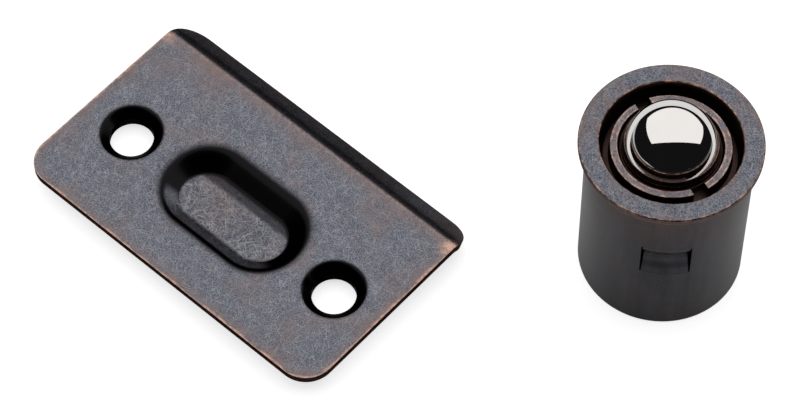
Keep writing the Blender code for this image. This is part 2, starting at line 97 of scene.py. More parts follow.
# %% Camera
CAMERA_AZIMUTH = math.radians(42.465)
CAMERA_ELEVATION = math.radians(57.957)
CAMERA_ROLL = math.radians(0.770)
CAMERA_DISTANCE = 479.526 * MM
CAMERA_AIM = Vector((-0.840 * MM, 0.590 * MM, 0.0))
CAMERA_LENS = 150.31

back = Vector((math.sin(CAMERA_AZIMUTH) * math.cos(CAMERA_ELEVATION),
               -math.cos(CAMERA_AZIMUTH) * math.cos(CAMERA_ELEVATION), math.sin(CAMERA_ELEVATION)))
level_right = Vector((math.cos(CAMERA_AZIMUTH), math.sin(CAMERA_AZIMUTH), 0.0))
level_up = back.cross(level_right)
right = math.cos(CAMERA_ROLL) * level_right - math.sin(CAMERA_ROLL) * level_up
up = math.sin(CAMERA_ROLL) * level_right + math.cos(CAMERA_ROLL) * level_up
camera_data = bpy.data.cameras.new("camera")
camera_data.lens = CAMERA_LENS
camera_data.sensor_fit = "HORIZONTAL"
camera_data.clip_start = 10.0 * MM
camera = bpy.data.objects.new("camera", camera_data)
camera.matrix_world = (Matrix.Translation(CAMERA_AIM + CAMERA_DISTANCE * back)
                       @ Matrix((right, up, back)).transposed().to_4x4())
bpy.context.scene.collection.objects.link(camera)
bpy.context.scene.camera = camera
print("camera at", camera.matrix_world.translation / MM)

# %% [markdown]
# ## Node helpers
# Shader and geometry trees are built by the same few small functions. `put` adds a node, sets it
# up and wires it in one call, which keeps each tree readable as a list of steps. The others are
# the steps that come back all the time: a calculation, a smooth step, a noise, a mix of colours.

# %% Helpers for node trees
def put(tree, kind, inputs=None, **settings):
    """Add a node, set its properties, and wire or set its inputs by name or number."""
    node = tree.nodes.new(kind)
    for name, value in settings.items():
        setattr(node, name, value)
    for key, value in (inputs or {}).items():
        if isinstance(value, bpy.types.NodeSocket):
            tree.links.new(value, node.inputs[key])
        else:
            node.inputs[key].default_value = value
    return node


def maths(tree, operation, *values):
    """One Math node. The kind of tree does not matter, because the node is shared by both."""
    return put(tree, "ShaderNodeMath", dict(enumerate(values)), operation=operation).outputs[0]


def hypotenuse(tree, first, second):
    """The long side of a right-angled triangle, from its two short ones."""
    squares = [maths(tree, "MULTIPLY", side, side) for side in (first, second)]
    return maths(tree, "SQRT", maths(tree, "ADD", *squares))


def ramp(tree, value, low, high, start=0.0, end=1.0):
    """A smooth step from start to end, as value goes from low to high."""
    inputs = {"Value": value, "From Min": low, "From Max": high, "To Min": start, "To Max": end}
    return put(tree, "ShaderNodeMapRange", inputs, interpolation_type="SMOOTHSTEP").outputs[0]


def noise(tree, vector, scale, detail):
    """One Noise Texture node: its grey value, about 0.5 on average."""
    return put(tree, "ShaderNodeTexNoise", {"Vector": vector, "Scale": scale, "Detail": detail}).outputs[0]


def blend(tree, share, first, second):
    """Mix two colours, or sockets that give colours."""
    inputs = {"Factor": share, 6: first, 7: second}
    return put(tree, "ShaderNodeMix", inputs, data_type="RGBA").outputs[2]


def new_group(name, kind, sockets):
    """A node group with named inputs and outputs, and its two end nodes."""
    group = bpy.data.node_groups.new(name, kind)
    for label, direction, socket_type, value in sockets:
        socket = group.interface.new_socket(label, in_out=direction, socket_type=socket_type)
        if value is not None:
            socket.default_value = value
    return group, group.nodes.new("NodeGroupInput").outputs, group.nodes.new("NodeGroupOutput").inputs


def say_nodes(label, tree):
    """Print how large a finished tree is."""
    print(label, "has", len(tree.nodes), "nodes and", len(tree.links), "links")

# %% [markdown]
# ## Finish: scratches
# Tumbled metal is covered in short random scratches. They could be painted, but a picture runs
# out of detail. A noise texture that is stretched along one direction gives a field of parallel
# streaks at any size, and a threshold keeps only the brightest of them. A slow bend of the
# coordinates makes them curve a little. Several directions are laid on top of each other later,
# so this is a group with the angle as an input.

# %% Shader group: scratches
scratches, given, result = new_group("Scratches", "ShaderNodeTree", [
    ("Vector", "INPUT", "NodeSocketVector", None),
    ("Angle", "INPUT", "NodeSocketFloat", 0.0),
    ("Length", "INPUT", "NodeSocketFloat", 1.9 * MM),
    ("Width", "INPUT", "NodeSocketFloat", 0.14 * MM),
    ("Threshold", "INPUT", "NodeSocketFloat", 0.68),
    ("Mask", "OUTPUT", "NodeSocketFloat", None)])
bend = put(scratches, "ShaderNodeTexNoise", {"Vector": given["Vector"], "Scale": 150.0, "Detail": 0.0})
shift = put(scratches, "ShaderNodeVectorMath", {0: bend.outputs["Color"], 1: (0.5, 0.5, 0.5)},
            operation="SUBTRACT").outputs[0]
shift = put(scratches, "ShaderNodeVectorMath", {0: shift, "Scale": 1.6 * MM}, operation="SCALE").outputs[0]
place = put(scratches, "ShaderNodeVectorMath", {0: given["Vector"], 1: shift}, operation="ADD").outputs[0]
turned_place = put(scratches, "ShaderNodeVectorRotate", {"Vector": place, "Angle": given["Angle"]},
                   rotation_type="Z_AXIS").outputs[0]
parts = put(scratches, "ShaderNodeSeparateXYZ", {0: turned_place}).outputs
along = maths(scratches, "DIVIDE", parts[0], given["Length"])
across = maths(scratches, "DIVIDE", parts[1], given["Width"])
height = maths(scratches, "DIVIDE", parts[2], given["Length"])
streaks = put(scratches, "ShaderNodeCombineXYZ", {0: along, 1: across, 2: height}).outputs[0]
streaks = noise(scratches, streaks, 1.0, 0.0)
edge = maths(scratches, "ADD", given["Threshold"], 0.07)
scratches.links.new(ramp(scratches, streaks, given["Threshold"], edge), result["Mask"])
say_nodes("scratches", scratches)

# %% [markdown]
# ## Finish: tumbled bronze
# The finish looks like a near-black coat over copper plate on steel. Tumbling rubs the flats to
# a mottled blue-grey, and wears the edges down to the copper. The group takes four masks: how
# rubbed a place is, how worn as an edge, how warm in tone and how scratched. A fifth input, the
# grain, sets how strong the mottle is. Noises of four sizes make the mottle and break up the
# copper, the warm tone and the scratches, so that their masks don't show a clean outline. The
# group puts out a colour, a roughness and a height. It knows nothing about the piece that it is
# used on, so the casing, the sleeve and the strike plate share it.

# %% Shader group: tumbled bronze
COAT = (0.012, 0.011, 0.012, 1.0)
COAT_BROWN = (0.190, 0.110, 0.090, 1.0)
RUBBED_DARK = (0.058, 0.062, 0.078, 1.0)
RUBBED_LIGHT = (0.246, 0.254, 0.298, 1.0)
SCRATCH_LIGHT = (0.46, 0.46, 0.48, 1.0)
WARM_TINT = (0.250, 0.170, 0.148, 1.0)
COPPER = (0.68, 0.425, 0.330, 1.0)
SCRATCH_ANGLES = (0.3, 0.8, 1.3, 1.8, 2.3, 2.8)

bronze, given, result = new_group("Tumbled bronze", "ShaderNodeTree", [
    ("Vector", "INPUT", "NodeSocketVector", None),
    ("Rubbed", "INPUT", "NodeSocketFloat", 1.0),
    ("Edge", "INPUT", "NodeSocketFloat", 0.0),
    ("Warmth", "INPUT", "NodeSocketFloat", 0.0),
    ("Scratched", "INPUT", "NodeSocketFloat", 0.5),
    ("Grain", "INPUT", "NodeSocketFloat", 1.0),
    ("Color", "OUTPUT", "NodeSocketColor", None),
    ("Roughness", "OUTPUT", "NodeSocketFloat", None),
    ("Height", "OUTPUT", "NodeSocketFloat", None)])
vector = given["Vector"]
fine = put(bronze, "ShaderNodeTexNoise", {"Vector": vector, "Scale": 5200.0, "Detail": 2.0,
                                          "Roughness": 0.7}).outputs[0]
broad = noise(bronze, vector, 420.0, 3.0)
patchy = noise(bronze, vector, 1300.0, 2.0)
slow = noise(bronze, vector, 130.0, 2.0)
scratch = 0.0
for number, angle in enumerate(SCRATCH_ANGLES):
    place = put(bronze, "ShaderNodeVectorMath", {0: vector, 1: (0.0, 0.0, 0.01 * number)}, operation="ADD")
    layer = put(bronze, "ShaderNodeGroup", {}, node_tree=scratches)
    bronze.links.new(place.outputs[0], layer.inputs["Vector"])
    layer.inputs["Angle"].default_value = angle
    scratch = maths(bronze, "MAXIMUM", scratch, layer.outputs["Mask"])
scratch = maths(bronze, "MULTIPLY", scratch, ramp(bronze, patchy, 0.36, 0.6, 0.45, 1.0))
scratch = maths(bronze, "MULTIPLY", scratch, given["Scratched"])
say_nodes("noises and scratches", bronze)

# %% [markdown]
# ### From masks to colour
# The layers go on in the order in which they came about: coat, rubbed grey, scratches, a warm
# tone, and copper at the edges last. A rubbed place is rougher than the glossy coat. The height
# is a fine grain with the scratches cut into it, only where the place is rubbed.

# %% Shader group: tumbled bronze's colour, roughness and height
mottle = maths(bronze, "ADD", maths(bronze, "MULTIPLY", fine, 0.88), maths(bronze, "MULTIPLY", broad, 0.12))
mottle = maths(bronze, "MULTIPLY_ADD", maths(bronze, "SUBTRACT", mottle, 0.5), given["Grain"], 0.5)
rubbed = blend(bronze, ramp(bronze, mottle, 0.33, 0.67), RUBBED_DARK, RUBBED_LIGHT)
rubbed = blend(bronze, scratch, rubbed, SCRATCH_LIGHT)
warm = maths(bronze, "ADD", given["Warmth"], ramp(bronze, slow, 0.45, 0.68, 0.0, 0.42))
warm = maths(bronze, "MULTIPLY", warm, ramp(bronze, patchy, 0.3, 0.65, 0.35, 1.0))
rubbed = blend(bronze, warm, rubbed, WARM_TINT)
coat = blend(bronze, maths(bronze, "MULTIPLY", given["Warmth"], broad), COAT, COAT_BROWN)
whole = blend(bronze, given["Rubbed"], coat, rubbed)
flecks = maths(bronze, "MULTIPLY", ramp(bronze, patchy, 0.36, 0.62, 0.4, 1.0),
               ramp(bronze, fine, 0.36, 0.56, 0.45, 1.0))
edge = maths(bronze, "MULTIPLY", given["Edge"], flecks)
whole = blend(bronze, edge, whole, COPPER)
bronze.links.new(whole, result["Color"])
shelter = maths(bronze, "MULTIPLY", given["Warmth"], maths(bronze, "SUBTRACT", 1.0, given["Rubbed"]))
smooth_or_matt = maths(bronze, "MULTIPLY_ADD", given["Rubbed"], 0.18, 0.18)
smooth_or_matt = maths(bronze, "MULTIPLY_ADD", shelter, 0.32, smooth_or_matt)
bronze.links.new(maths(bronze, "MULTIPLY_ADD", fine, 0.08, smooth_or_matt), result["Roughness"])
relief = maths(bronze, "MULTIPLY", maths(bronze, "SUBTRACT", fine, scratch), given["Rubbed"])
bronze.links.new(relief, result["Height"])
say_nodes("tumbled bronze", bronze)

# %% [markdown]
# ## Finish: where the wear is
# Wear follows the shape. It could be found by baking how sharply the surface bends, but that
# needs a dense mesh and a picture. On a turned piece every edge is a ring, so a point's distance
# from an edge follows from its radius and its height alone. On the strike plate the edge is a
# rounded rectangle, and the distance to it has a short formula too. Both stay sharp at any size.

# %% Shader group: distance from a ring
ring, given, result = new_group("Ring wear", "ShaderNodeTree", [
    ("Vector", "INPUT", "NodeSocketVector", None),
    ("Radius", "INPUT", "NodeSocketFloat", 10.0 * MM),
    ("Height", "INPUT", "NodeSocketFloat", 0.0),
    ("Width", "INPUT", "NodeSocketFloat", 0.3 * MM),
    ("Mask", "OUTPUT", "NodeSocketFloat", None)])
parts = put(ring, "ShaderNodeSeparateXYZ", {0: given["Vector"]}).outputs
out = maths(ring, "SUBTRACT", hypotenuse(ring, parts[0], parts[1]), given["Radius"])
rise = maths(ring, "SUBTRACT", parts[2], given["Height"])
gap = hypotenuse(ring, out, rise)
uneven = noise(ring, given["Vector"], 700.0, 3.0)
reach = maths(ring, "MULTIPLY", given["Width"], ramp(ring, uneven, 0.3, 0.7, 0.35, 1.5))
ring.links.new(ramp(ring, maths(ring, "DIVIDE", gap, reach), 0.3, 1.0, 1.0, 0.0), result["Mask"])
say_nodes("ring wear", ring)

# %% Shader group: distance from the strike plate's edge
STRIKE_CORNER = 4.4 * MM
plate, given, result = new_group("Plate edge", "ShaderNodeTree", [
    ("Vector", "INPUT", "NodeSocketVector", None),
    ("Half length", "INPUT", "NodeSocketFloat", 28.0 * MM),
    ("Half width", "INPUT", "NodeSocketFloat", 15.0 * MM),
    ("Corner", "INPUT", "NodeSocketFloat", STRIKE_CORNER),
    ("Depth inside", "OUTPUT", "NodeSocketFloat", None)])
parts = put(plate, "ShaderNodeSeparateXYZ", {0: given["Vector"]}).outputs
past = []
for part, half in ((parts[0], given["Half length"]), (parts[1], given["Half width"])):
    inner = maths(plate, "SUBTRACT", half, given["Corner"])
    past.append(maths(plate, "SUBTRACT", maths(plate, "ABSOLUTE", part), inner))
corner = [maths(plate, "MAXIMUM", value, 0.0) for value in past]
outside = hypotenuse(plate, corner[0], corner[1])
inside = maths(plate, "MINIMUM", maths(plate, "MAXIMUM", past[0], past[1]), 0.0)
distance = maths(plate, "ADD", outside, inside)
plate.links.new(maths(plate, "SUBTRACT", given["Corner"], distance), result["Depth inside"])
say_nodes("plate edge", plate)

# %% [markdown]
# ## Materials
# Each bronze material centres its coordinates on the piece with a Mapping node, works out its
# masks and hands them to the tumbled bronze group. The masks come mostly from two things: the
# place on the piece, and which way the surface faces. The second tells the rubbed flats from the
# walls, which kept their dark coat. Painted masks would need an unwrapped mesh, and would have to
# be painted again whenever a size changes.

# %% Helpers for materials
def new_material(name):
    """A material with an empty Principled shader, its tree and the shader."""
    material = bpy.data.materials.new(name)
    material.use_nodes = True
    return material, material.node_tree, material.node_tree.nodes["Principled BSDF"]


def centred(tree, place):
    """Object coordinates, counted from a place on the piece, and the surface's own normal."""
    coordinates = put(tree, "ShaderNodeTexCoord")
    mapping = put(tree, "ShaderNodeMapping", {"Vector": coordinates.outputs["Object"],
                                              "Location": [-x for x in place]})
    return mapping.outputs[0], put(tree, "ShaderNodeSeparateXYZ", {0: coordinates.outputs["Normal"]}).outputs


def finish_bronze(tree, shader, vector, rubbed, edge, warmth, scratched, grain=1.0, bump=0.3):
    """Hand the masks to the tumbled bronze group and wire what it gives to the shader."""
    group = put(tree, "ShaderNodeGroup", {}, node_tree=bronze)
    for label, value in (("Vector", vector), ("Rubbed", rubbed), ("Edge", edge),
                         ("Warmth", warmth), ("Scratched", scratched), ("Grain", grain)):
        if isinstance(value, bpy.types.NodeSocket):
            tree.links.new(value, group.inputs[label])
        else:
            group.inputs[label].default_value = value
    tree.links.new(group.outputs["Color"], shader.inputs["Base Color"])
    tree.links.new(group.outputs["Roughness"], shader.inputs["Roughness"])
    relief = put(tree, "ShaderNodeBump", {"Height": group.outputs["Height"], "Distance": 0.02 * MM,
                                          "Strength": bump})
    tree.links.new(relief.outputs[0], shader.inputs["Normal"])
    shader.inputs["Metallic"].default_value = 1.0

# %% Helpers for worn places
def worn_spot(tree, vector, place, reach, strength):
    """Wear that fades out round one place."""
    away = put(tree, "ShaderNodeVectorMath", {0: vector, 1: place}, operation="DISTANCE").outputs["Value"]
    return ramp(tree, away, 0.0, reach, strength, 0.0)


def worn_rings(tree, vector, rings):
    """The strongest of several rings of wear, each (radius, height, width)."""
    mask = 0.0
    for radius, height, width in rings:
        group = put(tree, "ShaderNodeGroup", {}, node_tree=ring)
        tree.links.new(vector, group.inputs["Vector"])
        group.inputs["Radius"].default_value = radius
        group.inputs["Height"].default_value = height
        group.inputs["Width"].default_value = width
        mask = maths(tree, "MAXIMUM", mask, group.outputs["Mask"])
    return mask

# %% [markdown]
# ### Strike plate's finish: what was rubbed, with painted reflection and painted shade
# The open flat is rubbed all over. The pocket's walls and the dimples lean away from it and kept
# their black coat. Between them the mask follows how far the surface faces up. What leans to the
# straight edge gets a little less of the rubbed grey than what leans to the lip. Three places are
# given. In the pocket, the wall that faces the lip gets the rubbed grey as a painted reflection.
# The pocket's floor is worn, but a strip along the foot of the wall next to the lip is made much
# darker, as painted shade. That strip is a stand-in: the real pocket seems to be deeper, which moves
# the worn patch of its floor in the picture. The outer part of the lip is rubbed lightly, and more
# so to the right.

# %% Material: strike plate, the rubbed mask
LIP_REACH = strike_high.y - STRIKE_PLACE.y - 0.5 * STRIKE_FLAT_WIDTH
BEND_LINE = 0.5 * STRIKE_FLAT_WIDTH
BELOW_FLAT = (-0.9 * MM, -1.4 * MM)
NEAR_FLOOR = (-1.6 * MM, -2.4 * MM)
POCKET_MASK_END = (13.2 * MM, 14.2 * MM)
POCKET_MASK_SIDE = (9.0 * MM, 9.6 * MM)
FAR_FOOT_PAINTED_SHADE = (1.5 * MM, 2.3 * MM)

strike_finish, tree, shader = new_material("strike_bronze")
vector, normal = centred(tree, STRIKE_PLACE)
parts = put(tree, "ShaderNodeSeparateXYZ", {0: vector}).outputs
in_pocket = maths(tree, "MULTIPLY", ramp(tree, parts[2], *BELOW_FLAT),
                  ramp(tree, maths(tree, "ABSOLUTE", parts[0]), *POCKET_MASK_END, 1.0, 0.0))
in_pocket = maths(tree, "MULTIPLY", in_pocket, ramp(tree, parts[1], *POCKET_MASK_SIDE, 1.0, 0.0))
# Painted reflection: the pocket's wall that faces the lip gets the rubbed grey.
wall_facing_lip_painted_reflection = maths(tree, "MULTIPLY", ramp(tree, normal[1], 0.25, 0.50), in_pocket)
# Slopes leaning towards the straight edge get a little less of the rubbed grey, those leaning towards the lip
# a little more.
leaning_front = maths(tree, "MULTIPLY", normal[1], -0.14)
leaning_back = maths(tree, "MULTIPLY", normal[1], -0.05)
lean_shift = maths(tree, "MAXIMUM", leaning_front, leaning_back)
facing = maths(tree, "SUBTRACT", maths(tree, "ABSOLUTE", normal[2]), lean_shift)
rubbed = maths(tree, "MAXIMUM", ramp(tree, facing, 0.85, 0.985), wall_facing_lip_painted_reflection)

rubbed = maths(tree, "MULTIPLY", rubbed, ramp(tree, parts[2], *NEAR_FLOOR, 1.0, 0.79))
# Painted shade: the floor's strip at the foot of the wall next to the lip is made much darker and less
# scratched.
far_foot_painted_shade = maths(tree, "MULTIPLY", ramp(tree, parts[2], *NEAR_FLOOR),
                 ramp(tree, parts[1], *FAR_FOOT_PAINTED_SHADE, 0.0, 0.7))
clear_of_painted_shade = maths(tree, "SUBTRACT", 1.0, far_foot_painted_shade)
rubbed = maths(tree, "MULTIPLY", rubbed, clear_of_painted_shade)
past_bend = maths(tree, "SUBTRACT", parts[1], BEND_LINE)
lip_wear = maths(tree, "MULTIPLY", ramp(tree, past_bend, 1.0 * MM, 2.6 * MM, 0.0, 0.34),
                 ramp(tree, parts[0], 6.0 * MM, 24.0 * MM, 1.0, 1.7))
rubbed = maths(tree, "MAXIMUM", rubbed, lip_wear)
say_nodes("strike plate's rubbed mask", tree)

# %% [markdown]
# ### Strike plate's finish: where copper shows
# A thin, uneven line of copper follows the upper rim and is a little wider at the right end. It
# nearly stops on the lip. The bend shows a trace of copper, and the two corners where it meets the
# rim are worn most, the right one above all. Round the rim and the bend the grey turns slightly
# warm. The outline group gives how far inside the rim a point lies. It is moved and widened by
# the lip's reach, so that it takes in the whole plate as seen from above. The specular tint dims
# what the plate mirrors at a glancing view.

# %% Material: strike plate, copper and warmth
RIM_COPPER = (0.18 * MM, 0.5 * MM)
CORNER_REACH = 2.6 * MM
CORNER_WEAR = ((0.5 * STRIKE_LENGTH, 1.9), (-0.5 * STRIKE_LENGTH, 0.9))

outline = put(tree, "ShaderNodeGroup", {}, node_tree=plate)
shifted = put(tree, "ShaderNodeVectorMath", {0: vector, 1: (0.0, -0.5 * LIP_REACH, 0.0)}, operation="ADD")
tree.links.new(shifted.outputs[0], outline.inputs["Vector"])
outline.inputs["Half length"].default_value = 0.5 * STRIKE_LENGTH
outline.inputs["Half width"].default_value = 0.5 * (STRIKE_FLAT_WIDTH + LIP_REACH)
depth = outline.outputs[0]
rim_reach = maths(tree, "MULTIPLY", ramp(tree, noise(tree, vector, 260.0, 4.0), 0.38, 0.62, *RIM_COPPER),
                  ramp(tree, parts[0], 26.0 * MM, 27.5 * MM, 1.0, 1.25))
rim = maths(tree, "DIVIDE", depth, rim_reach)
edge = maths(tree, "MULTIPLY", ramp(tree, rim, 0.25, 1.0, 1.0, 0.0), ramp(tree, normal[2], 0.05, 0.5))
edge = maths(tree, "MULTIPLY", edge, ramp(tree, past_bend, 0.3 * MM, 1.0 * MM, 1.0, 0.12))
bend_wear = ramp(tree, maths(tree, "ABSOLUTE", maths(tree, "SUBTRACT", past_bend, 0.5 * MM)),
                 0.0, 0.5 * MM, 0.22, 0.0)
for end, strength in CORNER_WEAR:
    spot = worn_spot(tree, vector, (end, BEND_LINE, 0.0), CORNER_REACH, strength)
    bend_wear = maths(tree, "MAXIMUM", bend_wear, spot)
edge = maths(tree, "MAXIMUM", edge, maths(tree, "MULTIPLY", bend_wear, rubbed))
warmth = maths(tree, "MAXIMUM", ramp(tree, depth, 0.1 * MM, 2.2 * MM, 0.5, 0.0),
               ramp(tree, maths(tree, "ABSOLUTE", past_bend), 0.0, 2.4 * MM, 0.5, 0.0))
warmth = maths(tree, "MULTIPLY", warmth, ramp(tree, past_bend, 0.6 * MM, 1.4 * MM, 1.0, 0.15))
scratched = maths(tree, "MULTIPLY", ramp(tree, parts[2], *NEAR_FLOOR, 0.42, 0.85), clear_of_painted_shade)
finish_bronze(tree, shader, vector, rubbed, edge, warmth, scratched)
shader.inputs["Specular Tint"].default_value = (0.40, 0.38, 0.37, 1.0)
say_nodes("strike plate's finish", tree)

# %% [markdown]
# ### Casing's finish
# The round face is rubbed like the strike plate. The tube's outer wall was rubbed less, and keeps
# long faint streaks along it, which a noise stretched along the axis gives. The bore stays dark.
# The flange's narrow outer wall lies between the face and the tube. The open rims show their
# copper, and the tone turns warm near them, on the tube close below the flange and in the bore.
# The piece is round, so its masks need only the radius, the height and the normal.

# %% Casing's sizes
FLANGE_RADIUS = 0.5 * (casing_high.x - casing_low.x)
FLANGE_THICKNESS = 1.0 * MM
FLANGE_OVERHANG = 1.1 * MM
TUBE_RADIUS = FLANGE_RADIUS - FLANGE_OVERHANG
TUBE_WALL = 1.0 * MM
BORE_RADIUS = TUBE_RADIUS - TUBE_WALL
FACE_HOLE_RADIUS = 9.8 * MM
FACE_UNDERSIDE = BARREL_HEIGHT - FLANGE_THICKNESS
print("tube radius in mm:", round(TUBE_RADIUS / MM, 2), "bore radius:", round(BORE_RADIUS / MM, 2))

# %% Material: casing, the rubbed mask
STREAK_STRETCH = 0.12

casing_finish, tree, shader = new_material("casing_bronze")
vector, normal = centred(tree, BARREL_AXIS)
facing = maths(tree, "ABSOLUTE", normal[2])
parts = put(tree, "ShaderNodeSeparateXYZ", {0: vector}).outputs
radius = hypotenuse(tree, parts[0], parts[1])
on_tube = ramp(tree, parts[2], FACE_UNDERSIDE, FACE_UNDERSIDE - 0.2 * MM)
stretched = put(tree, "ShaderNodeMapping", {"Vector": vector, "Scale": (1.0, 1.0, STREAK_STRETCH)}).outputs[0]
outer_wall = maths(tree, "MULTIPLY", ramp(tree, radius, BORE_RADIUS, BORE_RADIUS + 0.15 * MM),
                   ramp(tree, noise(tree, stretched, 420.0, 3.0), 0.3, 0.7, 0.28, 0.44))
outer_wall = maths(tree, "MULTIPLY", outer_wall, on_tube)
face = maths(tree, "MULTIPLY", ramp(tree, facing, 0.86, 0.985, 0.0, 0.88), ramp(tree, on_tube, 1.0, 0.0))
flange_wall = maths(tree, "MULTIPLY", ramp(tree, radius, FLANGE_RADIUS - 0.3 * MM, FLANGE_RADIUS - 0.1 * MM),
                    ramp(tree, facing, 0.9, 0.5))
walls = maths(tree, "MAXIMUM", outer_wall, maths(tree, "MULTIPLY", flange_wall, 0.5))
rubbed = maths(tree, "MAXIMUM", face, walls)
say_nodes("casing's rubbed mask", tree)

# %% Material: casing, copper and warmth
edge = worn_rings(tree, vector, [
    (FLANGE_RADIUS, BARREL_HEIGHT, 0.27 * MM), (FLANGE_RADIUS, FACE_UNDERSIDE, 0.2 * MM),
    (FACE_HOLE_RADIUS, BARREL_HEIGHT, 0.22 * MM), (TUBE_RADIUS, 0.0, 0.2 * MM)])
below_flange = ramp(tree, parts[2], FACE_UNDERSIDE - 12.0 * MM, FACE_UNDERSIDE, 0.05, 0.5)
warmth = maths(tree, "MAXIMUM", maths(tree, "MULTIPLY", below_flange, on_tube), flange_wall)
near_rim = maths(tree, "MAXIMUM", ramp(tree, radius, FLANGE_RADIUS - 0.9 * MM, FLANGE_RADIUS, 0.0, 0.4),
                 ramp(tree, radius, FACE_HOLE_RADIUS + 0.8 * MM, FACE_HOLE_RADIUS, 0.0, 0.4))
warmth = maths(tree, "MAXIMUM", warmth, maths(tree, "MULTIPLY", near_rim, face))
bore = maths(tree, "MULTIPLY", ramp(tree, radius, BORE_RADIUS + 0.1 * MM, BORE_RADIUS),
             ramp(tree, facing, 0.9, 0.5))
warmth = maths(tree, "MAXIMUM", warmth, bore)
grain = ramp(tree, on_tube, 0.0, 1.0, 1.0, 0.3)
scratched = ramp(tree, on_tube, 0.0, 1.0, 0.45, 0.05)
finish_bronze(tree, shader, vector, rubbed, edge, warmth, scratched, grain)
say_nodes("casing's finish", tree)

# %% [markdown]
# ### Sleeve's finish
# Of the sleeve only the collar's top could be rubbed, because the rest sits deep in the casing.
# Copper rings mark the collar's outer rim and the groove's rim, and fainter ones the thin lip
# round the ball. The rings are the same group as on the casing, at other radii and heights.

# %% Material: sleeve
COLLAR_RADIUS = 8.35 * MM
GROOVE_RADIUS = 7.30 * MM
BALL_BORE = BALL_RADIUS + 0.2 * MM
LIP_RADIUS = BALL_RADIUS - 0.03 * MM
LIP_TIP_WIDTH = 0.1 * MM
LIP_WALL = 0.26 * MM
LIP_SWAGE = 0.6 * MM

sleeve_finish, tree, shader = new_material("sleeve_bronze")
vector, normal = centred(tree, BARREL_AXIS)
parts = put(tree, "ShaderNodeSeparateXYZ", {0: vector}).outputs
rubbed = maths(tree, "MULTIPLY", ramp(tree, normal[2], 0.9, 0.99),
               ramp(tree, parts[2], COLLAR_TOP - 0.4 * MM, COLLAR_TOP - 0.2 * MM))
edge = worn_rings(tree, vector, [
    (COLLAR_RADIUS, COLLAR_TOP, 0.34 * MM), (GROOVE_RADIUS, COLLAR_TOP, 0.30 * MM)])
lip_edge = worn_rings(tree, vector, [
    (LIP_RADIUS + LIP_TIP_WIDTH, LIP_TOP, 0.13 * MM),
    (BALL_BORE + LIP_WALL, LIP_TOP - LIP_SWAGE, 0.12 * MM)])
edge = maths(tree, "MAXIMUM", edge, maths(tree, "MULTIPLY", lip_edge, 0.45))
warmth = ramp(tree, parts[2], COLLAR_TOP - 0.5 * MM, COLLAR_TOP - 0.2 * MM, 0.5, 0.3)
finish_bronze(tree, shader, vector, rubbed, edge, warmth, 0.45)
say_nodes("sleeve's finish", tree)

# %% [markdown]
# ### Chrome
# The ball is polished and chromed. Its mirror finish has faint wipe marks, which a little noise
# in the roughness gives. In the photograph a white ring runs round it near its outline. What it
# mirrors isn't known. A ring-shaped lamp might give it, but would light the other pieces too, so
# the ring is a painted reflection, a band in the ball's own material. The Layer Weight node tells
# how far a point lies between the middle of the ball, 0, and its outline, 1. Between two of these
# values the band's tone is set, darker towards the bottom, and its normal is turned straight up.
# This is set up for the photograph's camera and is only an imitation: from low down behind the
# pieces, no white ring shows.

# %% Material: chromed ball
RING_INNER = 0.515
RING_OUTER = 0.675
RING_OUTER_BELOW = 0.60
RING_FADE = 0.02

ball_finish, tree, shader = new_material("ball_chrome")
vector, _ = centred(tree, BALL_CENTRE)
haze = noise(tree, vector, 260.0, 3.0)
tree.links.new(ramp(tree, haze, 0.4, 0.75, 0.02, 0.06), shader.inputs["Roughness"])
shader.inputs["Metallic"].default_value = 1.0
own_normal = put(tree, "ShaderNodeNewGeometry").outputs["Normal"]
picture_up = put(tree, "ShaderNodeVectorMath", {0: own_normal, 1: tuple(level_up)},
                 operation="DOT_PRODUCT").outputs["Value"]
raised = maths(tree, "MAXIMUM", picture_up, 0.0)
lowered = maths(tree, "MAXIMUM", maths(tree, "MULTIPLY", picture_up, -1.0), 0.0)
# Painted reflection: a ring band between two Layer Weight values, with its own tone and a normal turned
# straight up.
limb = put(tree, "ShaderNodeLayerWeight", {"Blend": 0.5}).outputs["Facing"]
limb = maths(tree, "MULTIPLY_ADD", lowered, 0.17, limb)
inner = maths(tree, "MULTIPLY_ADD", raised, -0.045, RING_INNER)
outer = maths(tree, "MULTIPLY_ADD", raised, 0.10, ramp(tree, lowered, 0.0, 0.6, RING_OUTER, RING_OUTER_BELOW))
painted_ring = maths(tree, "MULTIPLY", ramp(tree, maths(tree, "SUBTRACT", limb, inner), 0.0, RING_FADE),
             ramp(tree, maths(tree, "SUBTRACT", limb, outer), -RING_FADE, 0.0, 1.0, 0.0))
upwards = put(tree, "ShaderNodeMix", {"Factor": painted_ring, 4: own_normal, 5: (0.0, 0.0, 1.0)},
              data_type="VECTOR").outputs[1]
tree.links.new(upwards, shader.inputs["Normal"])
polish = blend(tree, haze, (0.80, 0.765, 0.735, 1.0), (0.88, 0.855, 0.83, 1.0))
# The painted ring's tone, darker towards the bottom.
painted_ring_tone = blend(tree, lowered, (0.66, 0.655, 0.64, 1.0), (0.40, 0.39, 0.38, 1.0))
tree.links.new(blend(tree, painted_ring, polish, painted_ring_tone), shader.inputs["Base Color"])
say_nodes("ball's finish", tree)

# %% [markdown]
# ### Plain steel
# The seat, the disc and the spring are hidden in the sleeve. Their finish is a guess: bare steel,
# as such parts often are. A noise that is squeezed along the axis gives rings like those of
# turning, and one that is squeezed across it gives streaks for the wire. One helper makes both.

